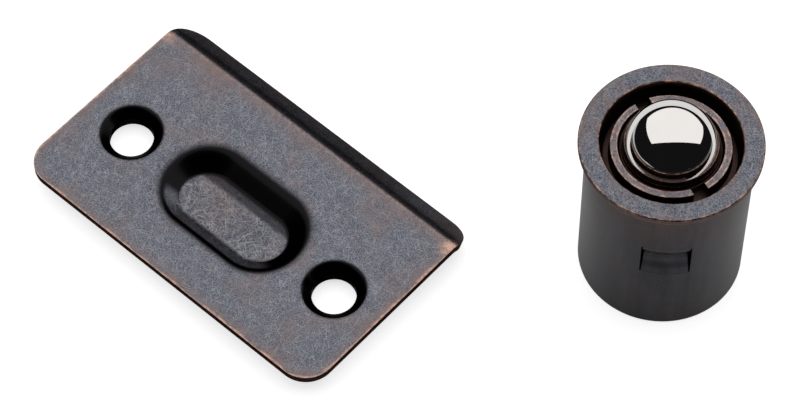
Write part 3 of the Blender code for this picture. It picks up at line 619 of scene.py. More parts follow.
# %% Materials: plain steel and spring wire
def plain_steel(name, light, dark, squeeze):
    """Bare steel, with noise squeezed in one direction into rings or streaks."""
    material, tree, shader = new_material(name)
    vector, _ = centred(tree, BARREL_AXIS)
    marks = put(tree, "ShaderNodeMapping", {"Vector": vector, "Scale": squeeze}).outputs[0]
    marks = noise(tree, marks, 400.0, 4.0)
    tree.links.new(blend(tree, ramp(tree, marks, 0.35, 0.65), dark, light), shader.inputs["Base Color"])
    tree.links.new(ramp(tree, marks, 0.3, 0.7, 0.28, 0.42), shader.inputs["Roughness"])
    shader.inputs["Metallic"].default_value = 1.0
    say_nodes(name, tree)
    return material


seat_finish = plain_steel("seat_steel", (0.56, 0.56, 0.57, 1.0), (0.42, 0.42, 0.43, 1.0), (1.0, 1.0, 8.0))
spring_finish = plain_steel("spring_wire", (0.46, 0.46, 0.48, 1.0), (0.33, 0.33, 0.34, 1.0), (4.0, 4.0, 1.0))

# %% [markdown]
# ## Mesh helpers
# Fine meshes start as a bmesh or a profile, and get their fullness from modifiers, as a modeller
# would do by hand. Before a piece is handed to the frame its modifiers are applied and its place
# goes into the mesh. Cutting and joining use the manifold Boolean solver, which is fast but wants
# closed meshes, so each tool is closed and faces outwards.

# %% Helpers for meshes
def new_object(name, bm, material=None):
    """Turn a bmesh into an object of the scene, with its material."""
    mesh = bpy.data.meshes.new(name)
    bm.to_mesh(mesh)
    bm.free()
    item = bpy.data.objects.new(name, mesh)
    bpy.context.scene.collection.objects.link(item)
    if material:
        mesh.materials.append(material)
    return item


def apply_modifiers(item):
    """Replace the mesh by what its modifiers make of it."""
    graph = bpy.context.evaluated_depsgraph_get()
    mesh = bpy.data.meshes.new_from_object(item.evaluated_get(graph))
    item.modifiers.clear()
    item.data = mesh
    return item


def face_outwards(item):
    """Turn all faces of a closed mesh outwards."""
    bm = bmesh.new()
    bm.from_mesh(item.data)
    bmesh.ops.recalc_face_normals(bm, faces=bm.faces)
    bm.to_mesh(item.data)
    bm.free()
    return item


def cut(item, tool, operation):
    """A Boolean with another object, which is removed afterwards."""
    boolean = item.modifiers.new(operation.title(), "BOOLEAN")
    boolean.operation = operation
    boolean.solver = "MANIFOLD"
    boolean.object = tool
    apply_modifiers(item)
    bpy.data.objects.remove(tool)


def shade(item, angle):
    """Smooth shading, broken at edges sharper than the angle in degrees."""
    item.data.shade_smooth()
    item.data.set_sharp_from_angle(angle=math.radians(angle))

# %% [markdown]
# ### Handing a piece over
# The frame needs three things of each piece: the body that it moves with, the material slot that
# it fills, and the CAD nodes that it stands for. One helper attaches the piece to its body, hides
# the CAD nodes that it stands for, and prints what it did.

# %% Helper for handing over
def hand_over(item, place, body, slot_name, *nodes):
    """Put the place into the mesh, and let the piece ride and stand for its nodes. The slot name is not used.
    """
    item.data.transform(Matrix.Translation(place))
    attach(item, body)
    if nodes:
        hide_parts(*nodes)
    print(item.name, "has", len(item.data.polygons), "faces and rides on", body)

# %% [markdown]
# ### Turned pieces
# Casing and sleeve are round, so each starts as the outline of half its section. A Bevel modifier
# would round all rims alike. Here every corner brings its own radius, and its arc is worked out
# before the profile is spun by a Screw modifier.

# %% Helpers for turned pieces
def rounded_profile(corners, steps=5):
    """A closed profile whose corners, each (radius, height, fillet), are rounded by arcs."""
    points = []
    for i, (radius, height, fillet) in enumerate(corners):
        here = Vector((radius, height))
        before = Vector(corners[i - 1][:2]) - here
        after = Vector(corners[(i + 1) % len(corners)][:2]) - here
        half = 0.5 * before.angle(after)
        reach = min(fillet / math.tan(half), 0.49 * before.length, 0.49 * after.length)
        if reach <= 0.0:
            points.append(here)
            continue
        centre = here + (before.normalized() + after.normalized()).normalized() * reach / math.cos(half)
        start = here + before.normalized() * reach - centre
        end = here + after.normalized() * reach - centre
        sweep = start.angle_signed(end)
        points += [centre + Matrix.Rotation(-sweep * step / steps, 2) @ start for step in range(steps + 1)]
    return points


def turned(name, points, segments, material):
    """Spin a closed profile round Z. Its points run down the outer side and up the bore."""
    bm = bmesh.new()
    verts = [bm.verts.new((point[0], 0.0, point[1])) for point in points]
    for first, second in zip(verts, verts[1:] + verts[:1]):
        bm.edges.new((first, second))
    item = new_object(name, bm, material)
    screw = item.modifiers.new("Turn", "SCREW")
    screw.steps = segments
    screw.render_steps = segments
    screw.use_merge_vertices = True
    screw.merge_threshold = 0.001 * MM
    apply_modifiers(item)
    print(name, "turned from", len(points), "points in", segments, "steps")
    return face_outwards(item)

# %% [markdown]
# ## Casing
# The casing is pressed in one piece: a tube, and a face that overhangs it outside and inside. A
# round piece could start from a cylinder, but a profile with rounded corners that is spun round
# the axis gives every rim its own rounding in one go.

# %% Casing: the turned shell
CASING_SEGMENTS = 168
casing = turned("casing_fine", rounded_profile([
    (FLANGE_RADIUS, BARREL_HEIGHT, 0.26 * MM), (FLANGE_RADIUS, FACE_UNDERSIDE, 0.2 * MM),
    (TUBE_RADIUS, FACE_UNDERSIDE, 0.2 * MM), (TUBE_RADIUS, 0.0, 0.22 * MM),
    (BORE_RADIUS, 0.0, 0.22 * MM), (BORE_RADIUS, FACE_UNDERSIDE, 0.4 * MM),
    (FACE_HOLE_RADIUS, FACE_UNDERSIDE, 0.2 * MM), (FACE_HOLE_RADIUS, BARREL_HEIGHT, 0.24 * MM)]),
    CASING_SEGMENTS, casing_finish)

# %% [markdown]
# ### Copies round the barrel
# Three strips of the wall are lanced and bowed inwards, and the sleeve's thread runs on them. So
# each lies a third of the thread's pitch above the one before. An Array modifier would do, but one
# geometry node tree can place both the window cutters and the strips from the same numbers. The
# last copy is counted back by one whole turn of the thread: it lies a step below the first
# instead of two above it.

# %% Geometry nodes: copies round the barrel, stepping up
THREAD_PITCH = 5.0 * MM
STRIP_COUNT = 3
STRIP_AZIMUTH = math.radians(-51.0)
STRIP_MIDDLE = BARREL_HEIGHT - 12.4 * MM

stepped, given, result = new_group("Stepped ring", "GeometryNodeTree", [
    ("Piece", "INPUT", "NodeSocketObject", None), ("Count", "INPUT", "NodeSocketInt", STRIP_COUNT),
    ("First angle", "INPUT", "NodeSocketFloat", 0.0), ("Step up", "INPUT", "NodeSocketFloat", 0.0),
    ("Material", "INPUT", "NodeSocketMaterial", None), ("Geometry", "OUTPUT", "NodeSocketGeometry", None)])
index = put(stepped, "GeometryNodeInputIndex").outputs[0]
late = put(stepped, "FunctionNodeCompare", {2: index, 3: 1}, data_type="INT",
           operation="GREATER_THAN").outputs[0]
step = maths(stepped, "SUBTRACT", index, maths(stepped, "MULTIPLY", late, given["Count"]))
height = maths(stepped, "MULTIPLY", step, given["Step up"])
place = put(stepped, "ShaderNodeCombineXYZ", {2: height}).outputs[0]
points = put(stepped, "GeometryNodePoints", {"Count": given["Count"], "Position": place}).outputs[0]
share = maths(stepped, "DIVIDE", index, given["Count"])
angle = maths(stepped, "MULTIPLY_ADD", share, 2.0 * math.pi, given["First angle"])
turn = put(stepped, "ShaderNodeCombineXYZ", {2: angle}).outputs[0]
copy = put(stepped, "GeometryNodeObjectInfo", {"Object": given["Piece"]}).outputs["Geometry"]
copies = put(stepped, "GeometryNodeInstanceOnPoints", {"Points": points, "Instance": copy, "Rotation": turn})
real = put(stepped, "GeometryNodeRealizeInstances", {0: copies.outputs[0]}).outputs[0]
real = put(stepped, "GeometryNodeSetMaterial", {0: real, "Material": given["Material"]}).outputs[0]
stepped.links.new(real, result[0])
say_nodes("stepped ring", stepped)


def run_tree(name, tree, **inputs):
    """An object made by a geometry node tree, with the named inputs set, as a plain mesh."""
    item = new_object(name, bmesh.new())
    nodes = item.modifiers.new(tree.name, "NODES")
    nodes.node_group = tree
    sockets = {s.name.replace(" ", "_").lower(): s.identifier for s in tree.interface.items_tree
               if s.in_out == "INPUT"}
    for label, value in inputs.items():
        nodes[sockets[label]] = value
    apply_modifiers(item)
    print(name, "made by", tree.name, "with", len(item.data.polygons), "faces")
    return face_outwards(item)

# %% [markdown]
# ### Windows and strips
# The strip in the photograph looks cut free on two sides and pushed in. A Boolean can't push, so
# it takes two steps. A window is a block a little wider than the strip, which leaves a thin slit
# on each side. The strip is a patch of the wall that bows inwards: a grid laid on the cylinder
# and thickened. It reaches past the window above and below, where it joins the wall.

# %% Casing: windows and lanced strips
STRIP_WIDTH = 6.5 * MM
STRIP_SLIT = 0.2 * MM
STRIP_HEIGHT = 6.1 * MM
STRIP_BOW = 0.9 * MM
STRIP_EMBED = 0.02 * MM
STRIP_TIE = 0.5 * MM

bm = bmesh.new()
bmesh.ops.create_cube(bm, size=1.0)
bmesh.ops.scale(bm, vec=(3.0 * TUBE_WALL, STRIP_WIDTH + 2.0 * STRIP_SLIT, STRIP_HEIGHT), verts=bm.verts)
bmesh.ops.translate(bm, vec=(TUBE_RADIUS - 0.5 * TUBE_WALL, 0.0, STRIP_MIDDLE), verts=bm.verts)
window = new_object("window", bm)

bm = bmesh.new()
bmesh.ops.create_grid(bm, x_segments=16, y_segments=40, size=0.5)
for vert in bm.verts:
    angle = 2.0 * math.asin(0.5 * STRIP_WIDTH / TUBE_RADIUS) * vert.co.x
    rise = vert.co.y * (STRIP_HEIGHT + 2.0 * STRIP_TIE)
    bow = STRIP_BOW * math.cos(0.5 * math.pi * min(1.0, abs(rise) / (0.5 * STRIP_HEIGHT))) ** 2
    radius = TUBE_RADIUS - STRIP_EMBED - bow
    vert.co = (radius * math.cos(angle), radius * math.sin(angle), STRIP_MIDDLE + rise)
strip = new_object("strip", bm)
wall = strip.modifiers.new("Wall", "SOLIDIFY")
wall.thickness = TUBE_WALL - 2.0 * STRIP_EMBED
apply_modifiers(strip)

around = {"count": STRIP_COUNT, "first_angle": STRIP_AZIMUTH, "step_up": THREAD_PITCH / STRIP_COUNT,
          "material": casing_finish}
cut(casing, run_tree("windows", stepped, piece=window, **around), "DIFFERENCE")
cut(casing, run_tree("strips", stepped, piece=strip, **around), "UNION")
for tool in (window, strip):
    bpy.data.objects.remove(tool)
shade(casing, 28.0)
hand_over(casing, BARREL_AXIS, "fixed_parts", "bronzed_steel", "casing")

# %% [markdown]
# ## Sleeve
# The sleeve is turned: a collar with a groove and a thin lip that is swaged over the ball, a
# shoulder, and a body with a coarse thread. The thread is a helix. A Screw modifier can make one,
# but a spring needs closed turns at its ends. So geometry nodes sweep a section along a coil, and
# the same tree makes the thread here and the spring later. Only the section and the way the pitch
# changes differ.

# %% Geometry nodes: a section swept along a coil
coil, given, result = new_group("Coil", "GeometryNodeTree", [
    ("Section", "INPUT", "NodeSocketObject", None), ("Radius", "INPUT", "NodeSocketFloat", 5.0 * MM),
    ("Foot", "INPUT", "NodeSocketFloat", 0.0), ("Pitch", "INPUT", "NodeSocketFloat", 2.0 * MM),
    ("Turns", "INPUT", "NodeSocketFloat", 4.0), ("Closed turns", "INPUT", "NodeSocketFloat", 0.0),
    ("Closed pitch", "INPUT", "NodeSocketFloat", 1.0 * MM), ("First angle", "INPUT", "NodeSocketFloat", 0.0),
    ("Points per turn", "INPUT", "NodeSocketInt", 48), ("Material", "INPUT", "NodeSocketMaterial", None),
    ("Geometry", "OUTPUT", "NodeSocketGeometry", None)])
count = maths(coil, "ADD", maths(coil, "MULTIPLY", given["Turns"], given["Points per turn"]), 1.0)
line = put(coil, "GeometryNodeMeshLine", {"Count": count}).outputs[0]
turn = maths(coil, "DIVIDE", put(coil, "GeometryNodeInputIndex").outputs[0], given["Points per turn"])
open_turns = maths(coil, "SUBTRACT", given["Turns"], maths(coil, "MULTIPLY", given["Closed turns"], 2.0))
in_open = maths(coil, "SUBTRACT", turn, given["Closed turns"])
in_open = maths(coil, "MINIMUM", maths(coil, "MAXIMUM", in_open, 0.0), open_turns)
in_closed = maths(coil, "SUBTRACT", turn, in_open)
height = maths(coil, "MULTIPLY_ADD", in_open, given["Pitch"], given["Foot"])
height = maths(coil, "MULTIPLY_ADD", in_closed, given["Closed pitch"], height)
angle = maths(coil, "MULTIPLY_ADD", turn, 2.0 * math.pi, given["First angle"])
place = put(coil, "ShaderNodeCombineXYZ", {
    0: maths(coil, "MULTIPLY", maths(coil, "COSINE", angle), given["Radius"]),
    1: maths(coil, "MULTIPLY", maths(coil, "SINE", angle), given["Radius"]), 2: height}).outputs[0]
line = put(coil, "GeometryNodeSetPosition", {0: line, "Position": place}).outputs[0]
path = put(coil, "GeometryNodeMeshToCurve", {0: line}).outputs[0]
path = put(coil, "GeometryNodeSetCurveNormal", {0: path}, mode="Z_UP").outputs[0]
section = put(coil, "GeometryNodeObjectInfo", {"Object": given["Section"]}).outputs["Geometry"]
section = put(coil, "GeometryNodeMeshToCurve", {0: section}).outputs[0]
swept = put(coil, "GeometryNodeCurveToMesh", {"Curve": path, "Profile Curve": section,
                                              "Fill Caps": True}).outputs[0]
swept = put(coil, "GeometryNodeSetMaterial", {0: swept, "Material": given["Material"]}).outputs[0]
coil.links.new(put(coil, "GeometryNodeRealizeInstances", {0: swept}).outputs[0], result[0])
say_nodes("coil", coil)


def section_loop(name, points):
    """A closed loop of edges in the XY plane: x is outwards from the coil, y is up."""
    bm = bmesh.new()
    verts = [bm.verts.new((x, y, 0.0)) for x, y in points]
    for first, second in zip(verts, verts[1:] + verts[:1]):
        bm.edges.new((first, second))
    return new_object(name, bm)

# %% [markdown]
# ### The turned body and its thread
# The body is spun from a profile like the casing. Its bore is wide at the foot, where the base
# disc lies, and a thin crimped edge holds the disc in. The thread's ridge is a trapezium that
# starts well inside the body, so that the union has no thin gap to close. Its first angle is set
# so that the bowed middle of each strip lies halfway between two turns of the ridge.

# %% Sleeve: the turned body
SLEEVE_SEGMENTS = 144
SLEEVE_RADIUS = 9.1 * MM
SHOULDER_RADIUS = 9.3 * MM
SHOULDER_TOP = COLLAR_TOP - 2.3 * MM
SHOULDER_FOOT = SHOULDER_TOP - 0.9 * MM
GROOVE_DEPTH = 0.6 * MM
CRIMP_TOP = SLEEVE_FOOT + 0.5 * MM
RECESS_RADIUS = 7.6 * MM
RECESS_TOP = CRIMP_TOP + 1.4 * MM
CRIMP_RADIUS = 6.3 * MM

sleeve = turned("sleeve_fine", rounded_profile([
    (COLLAR_RADIUS, COLLAR_TOP, 0.18 * MM), (COLLAR_RADIUS, SHOULDER_TOP, 0.2 * MM),
    (SHOULDER_RADIUS, SHOULDER_TOP, 0.15 * MM), (SHOULDER_RADIUS, SHOULDER_FOOT, 0.1 * MM),
    (SLEEVE_RADIUS, SHOULDER_FOOT - 0.2 * MM, 0.1 * MM), (SLEEVE_RADIUS, SLEEVE_FOOT, 0.5 * MM),
    (CRIMP_RADIUS, SLEEVE_FOOT, 0.15 * MM), (CRIMP_RADIUS, CRIMP_TOP, 0.1 * MM),
    (RECESS_RADIUS, CRIMP_TOP, 0.0), (RECESS_RADIUS, RECESS_TOP, 0.0), (BALL_BORE, RECESS_TOP, 0.1 * MM),
    (BALL_BORE, LIP_TOP - LIP_SWAGE, 0.3 * MM), (LIP_RADIUS, LIP_TOP, 0.03 * MM),
    (LIP_RADIUS + LIP_TIP_WIDTH, LIP_TOP + LIP_TIP, 0.05 * MM),
    (BALL_BORE + LIP_WALL, LIP_TOP - LIP_SWAGE, 0.3 * MM),
    (BALL_BORE + LIP_WALL, COLLAR_TOP - GROOVE_DEPTH, 0.1 * MM),
    (GROOVE_RADIUS - 0.3 * MM, COLLAR_TOP - GROOVE_DEPTH, 0.12 * MM),
    (GROOVE_RADIUS, COLLAR_TOP, 0.1 * MM)]), SLEEVE_SEGMENTS, sleeve_finish)

# %% Sleeve: the thread
THREAD_ROOT = SLEEVE_RADIUS - 1.0 * MM
THREAD_CREST = SLEEVE_RADIUS + 1.0 * MM
CREST_WIDTH = 0.9 * MM
FOOT_WIDTH = 1.7 * MM
THREAD_LOW = SLEEVE_FOOT + 3.6 * MM
THREAD_HIGH = SHOULDER_FOOT - 1.15 * MM
ridge_at_zero = STRIP_MIDDLE + THREAD_PITCH * (0.5 - STRIP_AZIMUTH / (2.0 * math.pi))
first_turn = (THREAD_LOW - ridge_at_zero) / THREAD_PITCH
depth = THREAD_CREST - THREAD_ROOT
trapezium = section_loop("thread_section", [
    (0.0, -0.5 * FOOT_WIDTH), (depth, -0.5 * CREST_WIDTH),
    (depth, 0.5 * CREST_WIDTH), (0.0, 0.5 * FOOT_WIDTH)])
ridge = run_tree("thread_ridge", coil, section=trapezium, radius=THREAD_ROOT, foot=THREAD_LOW,
                 pitch=THREAD_PITCH, turns=(THREAD_HIGH - THREAD_LOW) / THREAD_PITCH,
                 first_angle=2.0 * math.pi * first_turn, points_per_turn=72, material=sleeve_finish)
reach = [math.hypot(vert.co.x, vert.co.y) / MM for vert in ridge.data.vertices]
print("thread reaches from", round(min(reach), 2), "to", round(max(reach), 2), "mm")
cut(sleeve, ridge, "UNION")

# %% [markdown]
# ### Driver slots
# A wide screwdriver turns the sleeve by two slots in the collar, on opposite sides. Each is open
# from the groove outwards, so a block is turned to its place and taken away.

# %% Sleeve: driver slots
SLOT_WIDTH = 2.2 * MM
SLOT_DEPTH = 1.9 * MM
SLOT_AZIMUTH = math.radians(-21.5)
slot_inner = 0.5 * (LIP_RADIUS + GROOVE_RADIUS) + 0.1 * MM
slot_outer = COLLAR_RADIUS + 1.0 * MM
for side in range(2):
    bm = bmesh.new()
    bmesh.ops.create_cube(bm, size=1.0)
    bmesh.ops.scale(bm, vec=(slot_outer - slot_inner, SLOT_WIDTH, 2.0 * SLOT_DEPTH), verts=bm.verts)
    bmesh.ops.translate(bm, vec=(0.5 * (slot_inner + slot_outer), 0.0, COLLAR_TOP), verts=bm.verts)
    turn = Matrix.Rotation(SLOT_AZIMUTH + math.pi * side, 3, "Z")
    bmesh.ops.rotate(bm, cent=(0.0, 0.0, 0.0), matrix=turn, verts=bm.verts)
    cut(sleeve, new_object("slot", bm), "DIFFERENCE")
shade(sleeve, 28.0)
hand_over(sleeve, BARREL_AXIS, "sleeve", "bronzed_steel", "adjuster_sleeve")

# %% [markdown]
# ## Ball, seat, disc and spring
# A fine sphere replaces the faceted ball, because a mirror shows every facet. The seat and the
# disc are hidden and have the right shape already, so the CAD nodes stay and only get their
# material. The spring is wound by the coil tree, with a closed turn at each end, and rides with
# the sleeve.

# %% Ball
bm = bmesh.new()
bmesh.ops.create_uvsphere(bm, u_segments=128, v_segments=80, radius=BALL_RADIUS)
ball = new_object("ball_fine", bm, ball_finish)
ball.data.shade_smooth()
hand_over(ball, BALL_CENTRE, "ball", "chromed_ball", "ball")

# %% Seat and disc keep their CAD shape
for node in ("ball_seat", "base_disc"):
    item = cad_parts[node]
    item.data.materials.clear()
    item.data.materials.append(seat_finish)
    print(node, "keeps its CAD shape, with", len(item.data.polygons), "faces")

# %% Spring
WIRE_RADIUS = 0.6 * MM
spring_low, spring_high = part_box("coil_spring")
SPRING_RADIUS = 0.5 * (spring_high.x - spring_low.x) - WIRE_RADIUS
CLOSED_PITCH = 2.0 * WIRE_RADIUS + 0.12 * MM
SPRING_PITCH = 1.95 * MM
spring_foot = spring_low.z + WIRE_RADIUS
coil_height = spring_high.z - spring_low.z - 2.0 * WIRE_RADIUS
open_turns = (coil_height - 2.0 * CLOSED_PITCH) / SPRING_PITCH
wire_angles = [math.radians(angle) for angle in range(0, 360, 30)]
wire = section_loop("wire_section", [(WIRE_RADIUS * math.cos(a), WIRE_RADIUS * math.sin(a))
                                     for a in wire_angles])
spring = run_tree("spring_fine", coil, section=wire, radius=SPRING_RADIUS, foot=spring_foot,
                  pitch=SPRING_PITCH, closed_pitch=CLOSED_PITCH, closed_turns=1.0, turns=open_turns + 2.0,
                  points_per_turn=40, material=spring_finish)
for tool in (trapezium, wire):
    bpy.data.objects.remove(tool)
shade(spring, 50.0)
hand_over(spring, BARREL_AXIS, "sleeve", "spring_wire", "coil_spring")
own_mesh(spring)

# %% [markdown]
# ## Strike plate
# The plate is one pressed sheet. Cutting a pocket into a block would give sharp rims and a wrong
# underside, so only its upper face is built: an outline, and rings that are let down into the
# pocket and the two dimples as a press tool would. The edge on the lip's side is bent down, the
# flat between all of these is filled, and Solidify gives the sheet its thickness. The screw holes
# are punched last.

# %% Strike plate: sizes
SHEET = 1.2 * MM
POCKET_LENGTH = 28.4 * MM
POCKET_WIDTH = 18.0 * MM
POCKET_DEPTH = 2.8 * MM
POCKET_RIM = 4.6 * MM
POCKET_FLOOR = 1.8 * MM
POCKET_WALL_ANGLE = 38.0
POCKET_OFFSET = -0.55 * MM
SCREW_SPACING = 39.6 * MM
SCREW_OFFSET = -0.9 * MM
SCREW_HOLE_RADIUS = 3.2 * MM
DIMPLE_RADIUS = 5.3 * MM
DIMPLE_RIM = 1.5 * MM
DIMPLE_DEPTH = 2.1 * MM
DIMPLE_ANGLE = 45.0
LIP_BEND = 2.0 * MM
LIP_BEND_ANGLE = math.radians(28.0)
LIP_CURVE = 21.0 * MM
LIP_CURVE_ANGLE = math.radians(12.0)
LIP_CORNER = 4.2 * MM
LIP_BEND_RUN = LIP_BEND_ANGLE * LIP_BEND
LIP_RUN = LIP_BEND_RUN + LIP_CURVE_ANGLE * LIP_CURVE
print("sheet's length along the lip in mm:", round(LIP_RUN / MM, 2))

# %% [markdown]
# ### Pressed dishes
# Pocket and dimples are the same thing: a dish whose rim is rounded, whose wall is straight and
# whose foot may be rounded too. So one section serves both, and one function lets it down ring by
# ring, along an obround for the pocket and along a circle for the dimples. The pocket is closed
# by its floor, and the dimples stay open for the screw hole.

# %% Strike plate: pressing rings into the sheet
def pressed_section(start, rim, wall_angle, depth, floor, steps):
    """Section of a pressing, from the flat down to its floor, as (radius, drop)."""
    angle = math.radians(wall_angle)
    bends = [angle * (i + 1) / steps for i in range(steps)]
    points = [(rim * math.sin(a), rim * (1.0 - math.cos(a))) for a in bends]
    travel, drop = points[-1]
    wall = depth - drop - floor * (1.0 - math.cos(angle))
    for share in (0.25, 0.5, 0.75, 1.0):
        points.append((travel + share * wall / math.tan(angle), drop + share * wall))
    if floor > 0.0:
        centre = points[-1][0] + floor * math.sin(angle)
        points += [(centre - floor * math.sin(angle - a), depth - floor * (1.0 - math.cos(angle - a)))
                   for a in bends]
    return [(start - travel, drop) for travel, drop in points]


def ring_point(centre, half_straight, radius, drop, share):
    """A point of an obround, or of a circle when it has no straight, let down by a drop."""
    angle = 2.0 * math.pi * share
    x = math.copysign(half_straight, math.cos(angle)) + radius * math.cos(angle)
    return centre[0] + x, centre[1] + radius * math.sin(angle), -drop


def press(bm, centre, half_straight, radius, count, section, closed):
    """Let a dish down into the sheet ring by ring, and give the edges of its rim."""
    shares = [(i + 0.5) / count for i in range(count)]
    rings = []
    for ring_radius, drop in [(radius, 0.0)] + section:
        rings.append([bm.verts.new(ring_point(centre, half_straight, ring_radius, drop, share))
                      for share in shares])
    for outer, inner in zip(rings, rings[1:]):
        for i in range(count):
            bm.faces.new((outer[i - 1], outer[i], inner[i], inner[i - 1]))
    if closed:
        bm.faces.new(rings[-1])
    return [bm.edges.get((rings[0][i - 1], rings[0][i])) for i in range(count)]


pocket = pressed_section(0.5 * POCKET_WIDTH, POCKET_RIM, POCKET_WALL_ANGLE, POCKET_DEPTH, POCKET_FLOOR, 10)
dimple = pressed_section(DIMPLE_RADIUS, DIMPLE_RIM, DIMPLE_ANGLE, DIMPLE_DEPTH, 0.0, 8)
print("flat of the pocket's floor in mm:", round(2.0 * pocket[-1][0] / MM, 2), "wide")

# %% [markdown]
# ### Outline and lip
# The front corners are rounded in the flat sheet. The lip starts at a straight bend line. It
# bends tightly at first and then runs on in a long gentle curve, so a point of it follows from
# how far along the sheet it lies. Its two outer corners are rounded by narrowing the last rows.

# %% Strike plate: the outline and the lip
def outline_points():
    """The flat's edge: two rounded corners in front, and the ends of the bend line."""
    x, y = 0.5 * STRIKE_LENGTH, 0.5 * STRIKE_FLAT_WIDTH
    points = [(-x, y)]
    for side, start in ((-1.0, 180.0), (1.0, 270.0)):
        for i in range(17):
            angle = math.radians(start + 90.0 * i / 16)
            points.append((side * (x - STRIKE_CORNER) + STRIKE_CORNER * math.cos(angle),
                           STRIKE_CORNER - y + STRIKE_CORNER * math.sin(angle)))
    return points + [(x, y)]


def lip_point(run):
    """Reach and drop of the lip, a run along it past the bend line."""
    a = min(run / LIP_BEND, LIP_BEND_ANGLE)
    reach, drop = LIP_BEND * math.sin(a), LIP_BEND * (1.0 - math.cos(a))
    b = LIP_BEND_ANGLE + max(0.0, run - LIP_BEND_ANGLE * LIP_BEND) / LIP_CURVE
    reach += LIP_CURVE * (math.sin(b) - math.sin(LIP_BEND_ANGLE))
    drop += LIP_CURVE * (math.cos(LIP_BEND_ANGLE) - math.cos(b))
    return reach, drop


def bend_lip(bm, left, right, columns=24):
    """Rows of points from the bend line to the lip's outer edge, narrowed at its corners."""
    corner_start = LIP_RUN - LIP_CORNER
    runs = [LIP_BEND_RUN * i / 6 for i in range(1, 7)] + [corner_start]
    runs += [corner_start + LIP_CORNER * math.sin(math.radians(7.5 * i)) for i in range(1, 13)]
    row = [left] + [bm.verts.new(left.co.lerp(right.co, i / columns)) for i in range(1, columns)] + [right]
    bend_edges = [bm.edges.new(pair) for pair in zip(row, row[1:])]
    for run in runs:
        past = min(1.0, max(0.0, (run - corner_start) / LIP_CORNER))
        half = 0.5 * STRIKE_LENGTH - LIP_CORNER * (1.0 - math.sqrt(1.0 - past * past))
        reach, drop = lip_point(run)
        y = 0.5 * STRIKE_FLAT_WIDTH + reach
        new_row = [bm.verts.new((half * (2.0 * i / columns - 1.0), y, -drop)) for i in range(columns + 1)]
        for i in range(columns):
            bm.faces.new((row[i], row[i + 1], new_row[i + 1], new_row[i]))
        row = new_row
    return bend_edges


print("lip's reach and drop in mm:", [round(x / MM, 2) for x in lip_point(LIP_RUN)])

# %% Strike plate: the whole sheet
bm = bmesh.new()
verts = [bm.verts.new((x, y, 0.0)) for x, y in outline_points()]
rims = [bm.edges.new(pair) for pair in zip(verts, verts[1:])]
rims += bend_lip(bm, verts[0], verts[-1])
rims += press(bm, (0.0, POCKET_OFFSET), 0.5 * (POCKET_LENGTH - POCKET_WIDTH), 0.5 * POCKET_WIDTH, 120,
              pocket, True)
for side in (-1.0, 1.0):
    rims += press(bm, (side * 0.5 * SCREW_SPACING, SCREW_OFFSET), 0.0, DIMPLE_RADIUS, 72, dimple, False)
bmesh.ops.triangle_fill(bm, use_beauty=True, edges=rims, normal=Vector((0.0, 0.0, 1.0)))
bmesh.ops.recalc_face_normals(bm, faces=bm.faces)
if max(bm.faces, key=lambda face: face.calc_area()).normal.z < 0.0:
    bmesh.ops.reverse_faces(bm, faces=bm.faces)
strike = new_object("strike_fine", bm, strike_finish)
sheet = strike.modifiers.new("Sheet", "SOLIDIFY")
sheet.thickness = SHEET
sheet.offset = -1.0
sheet.use_even_offset = True
apply_modifiers(strike)
print("sheet has", len(strike.data.polygons), "faces before punching")

# %% [markdown]
# ### Punched holes and rounded rims
# A cylinder cuts each screw hole through its dimple. Tumbling also takes the sharpness off every
# rim. A Bevel modifier that is limited by angle rounds just those, and weighted normals keep the
# large flats looking flat beside the narrow round strips.

# %% Strike plate: punched holes and rounded rims
for side in (-1.0, 1.0):
    bm = bmesh.new()
    bmesh.ops.create_cone(bm, cap_ends=True, segments=96, radius1=SCREW_HOLE_RADIUS,
                          radius2=SCREW_HOLE_RADIUS, depth=12.0 * MM)
    bmesh.ops.translate(bm, vec=(side * 0.5 * SCREW_SPACING, SCREW_OFFSET, 0.0), verts=bm.verts)
    cut(strike, new_object("punch", bm), "DIFFERENCE")
RIM_ROUND = 0.16 * MM
rims = strike.modifiers.new("Rims", "BEVEL")
rims.width = RIM_ROUND
rims.segments = 3
rims.limit_method = "ANGLE"
rims.angle_limit = math.radians(50.0)
apply_modifiers(strike)
shade(strike, 35.0)
weighted = strike.modifiers.new("Flats stay flat", "WEIGHTED_NORMAL")
weighted.keep_sharp = True
apply_modifiers(strike)
hand_over(strike, STRIKE_PLACE, "fixed_parts", "bronzed_steel", "strike_plate")

# %% [markdown]
# ## Floor
# The catalogue picture has a plain white ground with hardly any shadow. The floor is a pale, matt
# sheet, and a little emission for camera rays alone lifts it to white and leaves a soft shadow.
# A film that is transparent would lose that shadow. The sheet is turned with the camera. It is
# short in front, so that the walls which face the camera mirror the dark room beyond it, and long
# behind the pieces.

# %% Floor
FLOOR_HALF = 125.0 * MM
FLOOR_BACK = 700.0 * MM
FLOOR_WHITE = (0.8, 0.8, 0.8, 1.0)
FLOOR_LIFT = 0.72

floor_finish, tree, shader = new_material("floor_white")
tree.nodes.remove(shader)
matt = put(tree, "ShaderNodeBsdfDiffuse", {"Color": FLOOR_WHITE})
rays = put(tree, "ShaderNodeLightPath")
strength = maths(tree, "MULTIPLY", rays.outputs["Is Camera Ray"], FLOOR_LIFT)
lift = put(tree, "ShaderNodeEmission", {"Strength": strength})
both = put(tree, "ShaderNodeAddShader", {0: matt.outputs[0], 1: lift.outputs[0]})
tree.links.new(both.outputs[0], tree.nodes["Material Output"].inputs["Surface"])

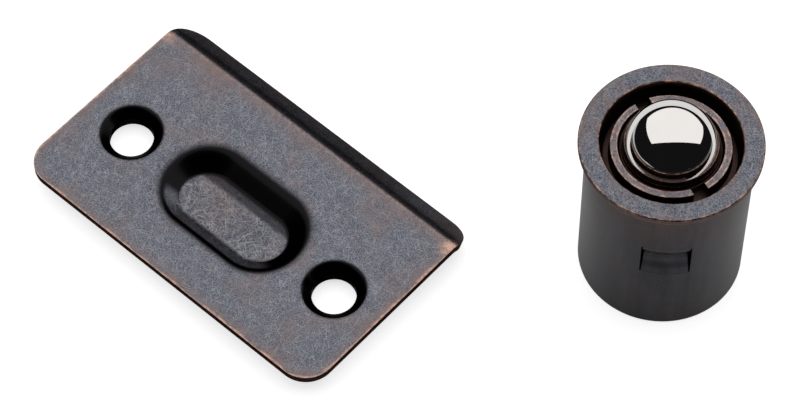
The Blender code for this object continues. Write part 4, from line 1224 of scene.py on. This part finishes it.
bm = bmesh.new()
bmesh.ops.create_grid(bm, x_segments=1, y_segments=1, size=FLOOR_HALF)
far_side = [vert for vert in bm.verts if vert.co.y > 0.0]
bmesh.ops.translate(bm, vec=(0.0, FLOOR_BACK - FLOOR_HALF, 0.0), verts=far_side)
bmesh.ops.rotate(bm, cent=(0.0, 0.0, 0.0), matrix=Matrix.Rotation(CAMERA_AZIMUTH, 3, "Z"), verts=bm.verts)
floor = new_object("floor", bm, floor_finish)
print("floor reaches", round(FLOOR_HALF / MM), "mm forwards and", round(FLOOR_BACK / MM), "mm back")

# %% [markdown]
# ## World
# The room is nearly black, so that the dark walls of the pieces stay dark in what they mirror.
# What the camera sees past the floor has to be white all the same, so the world gives camera rays
# another colour than all others.

# %% World
world = bpy.data.worlds.new("studio")
bpy.context.scene.world = world
world.use_nodes = True
tree = world.node_tree
tree.nodes.clear()
rays = put(tree, "ShaderNodeLightPath")
dark = put(tree, "ShaderNodeBackground", {"Color": (0.007, 0.007, 0.0075, 1.0), "Strength": 1.0})
white = put(tree, "ShaderNodeBackground", {"Color": (1.0, 1.0, 1.0, 1.0), "Strength": 1.0})
either = put(tree, "ShaderNodeMixShader", {0: rays.outputs["Is Camera Ray"], 1: dark.outputs[0],
                                           2: white.outputs[0]})
tree.links.new(either.outputs[0], put(tree, "ShaderNodeOutputWorld").inputs["Surface"])
say_nodes("world", tree)

# %% [markdown]
# ## Softbox
# Metal shows what it mirrors, so one very large lamp does more than several small ones. It hangs
# over the pieces and reaches a metre behind them, because the flats mirror what is above and
# behind. It slopes down towards the back, and is moved half a metre to the right. Both of its
# edges are given by how far they lie towards the camera and how high. What leans towards the
# camera mirrors the dark room in front of the lamp, and stays dark.

# %% Softbox
SOFTBOX_WIDTH = 2.6
SOFTBOX_RIGHT = 0.5
FRONT_EDGE = Vector((0.27, 0.60))
BACK_EDGE = Vector((-1.05, 0.32))
towards_camera = Vector((back.x, back.y, 0.0)).normalized()
slope = FRONT_EDGE - BACK_EDGE
along = (slope.x * towards_camera + Vector((0.0, 0.0, slope.y))).normalized()
middle = 0.5 * (FRONT_EDGE + BACK_EDGE)
lamp_data = bpy.data.lights.new("softbox", "AREA")
lamp_data.shape = "RECTANGLE"
lamp_data.size = SOFTBOX_WIDTH
lamp_data.size_y = slope.length
lamp_data.energy = math.pi * lamp_data.size * lamp_data.size_y
lamp = bpy.data.objects.new("softbox", lamp_data)
place = middle.x * towards_camera + SOFTBOX_RIGHT * level_right + Vector((0.0, 0.0, middle.y))
lamp.matrix_world = (Matrix.Translation(place)
                     @ Matrix((level_right, -along, level_right.cross(-along))).transposed().to_4x4())
bpy.context.scene.collection.objects.link(lamp)
bpy.context.scene.view_settings.view_transform = "Standard"
print("softbox is", round(lamp_data.size, 2), "by", round(lamp_data.size_y, 2), "m")
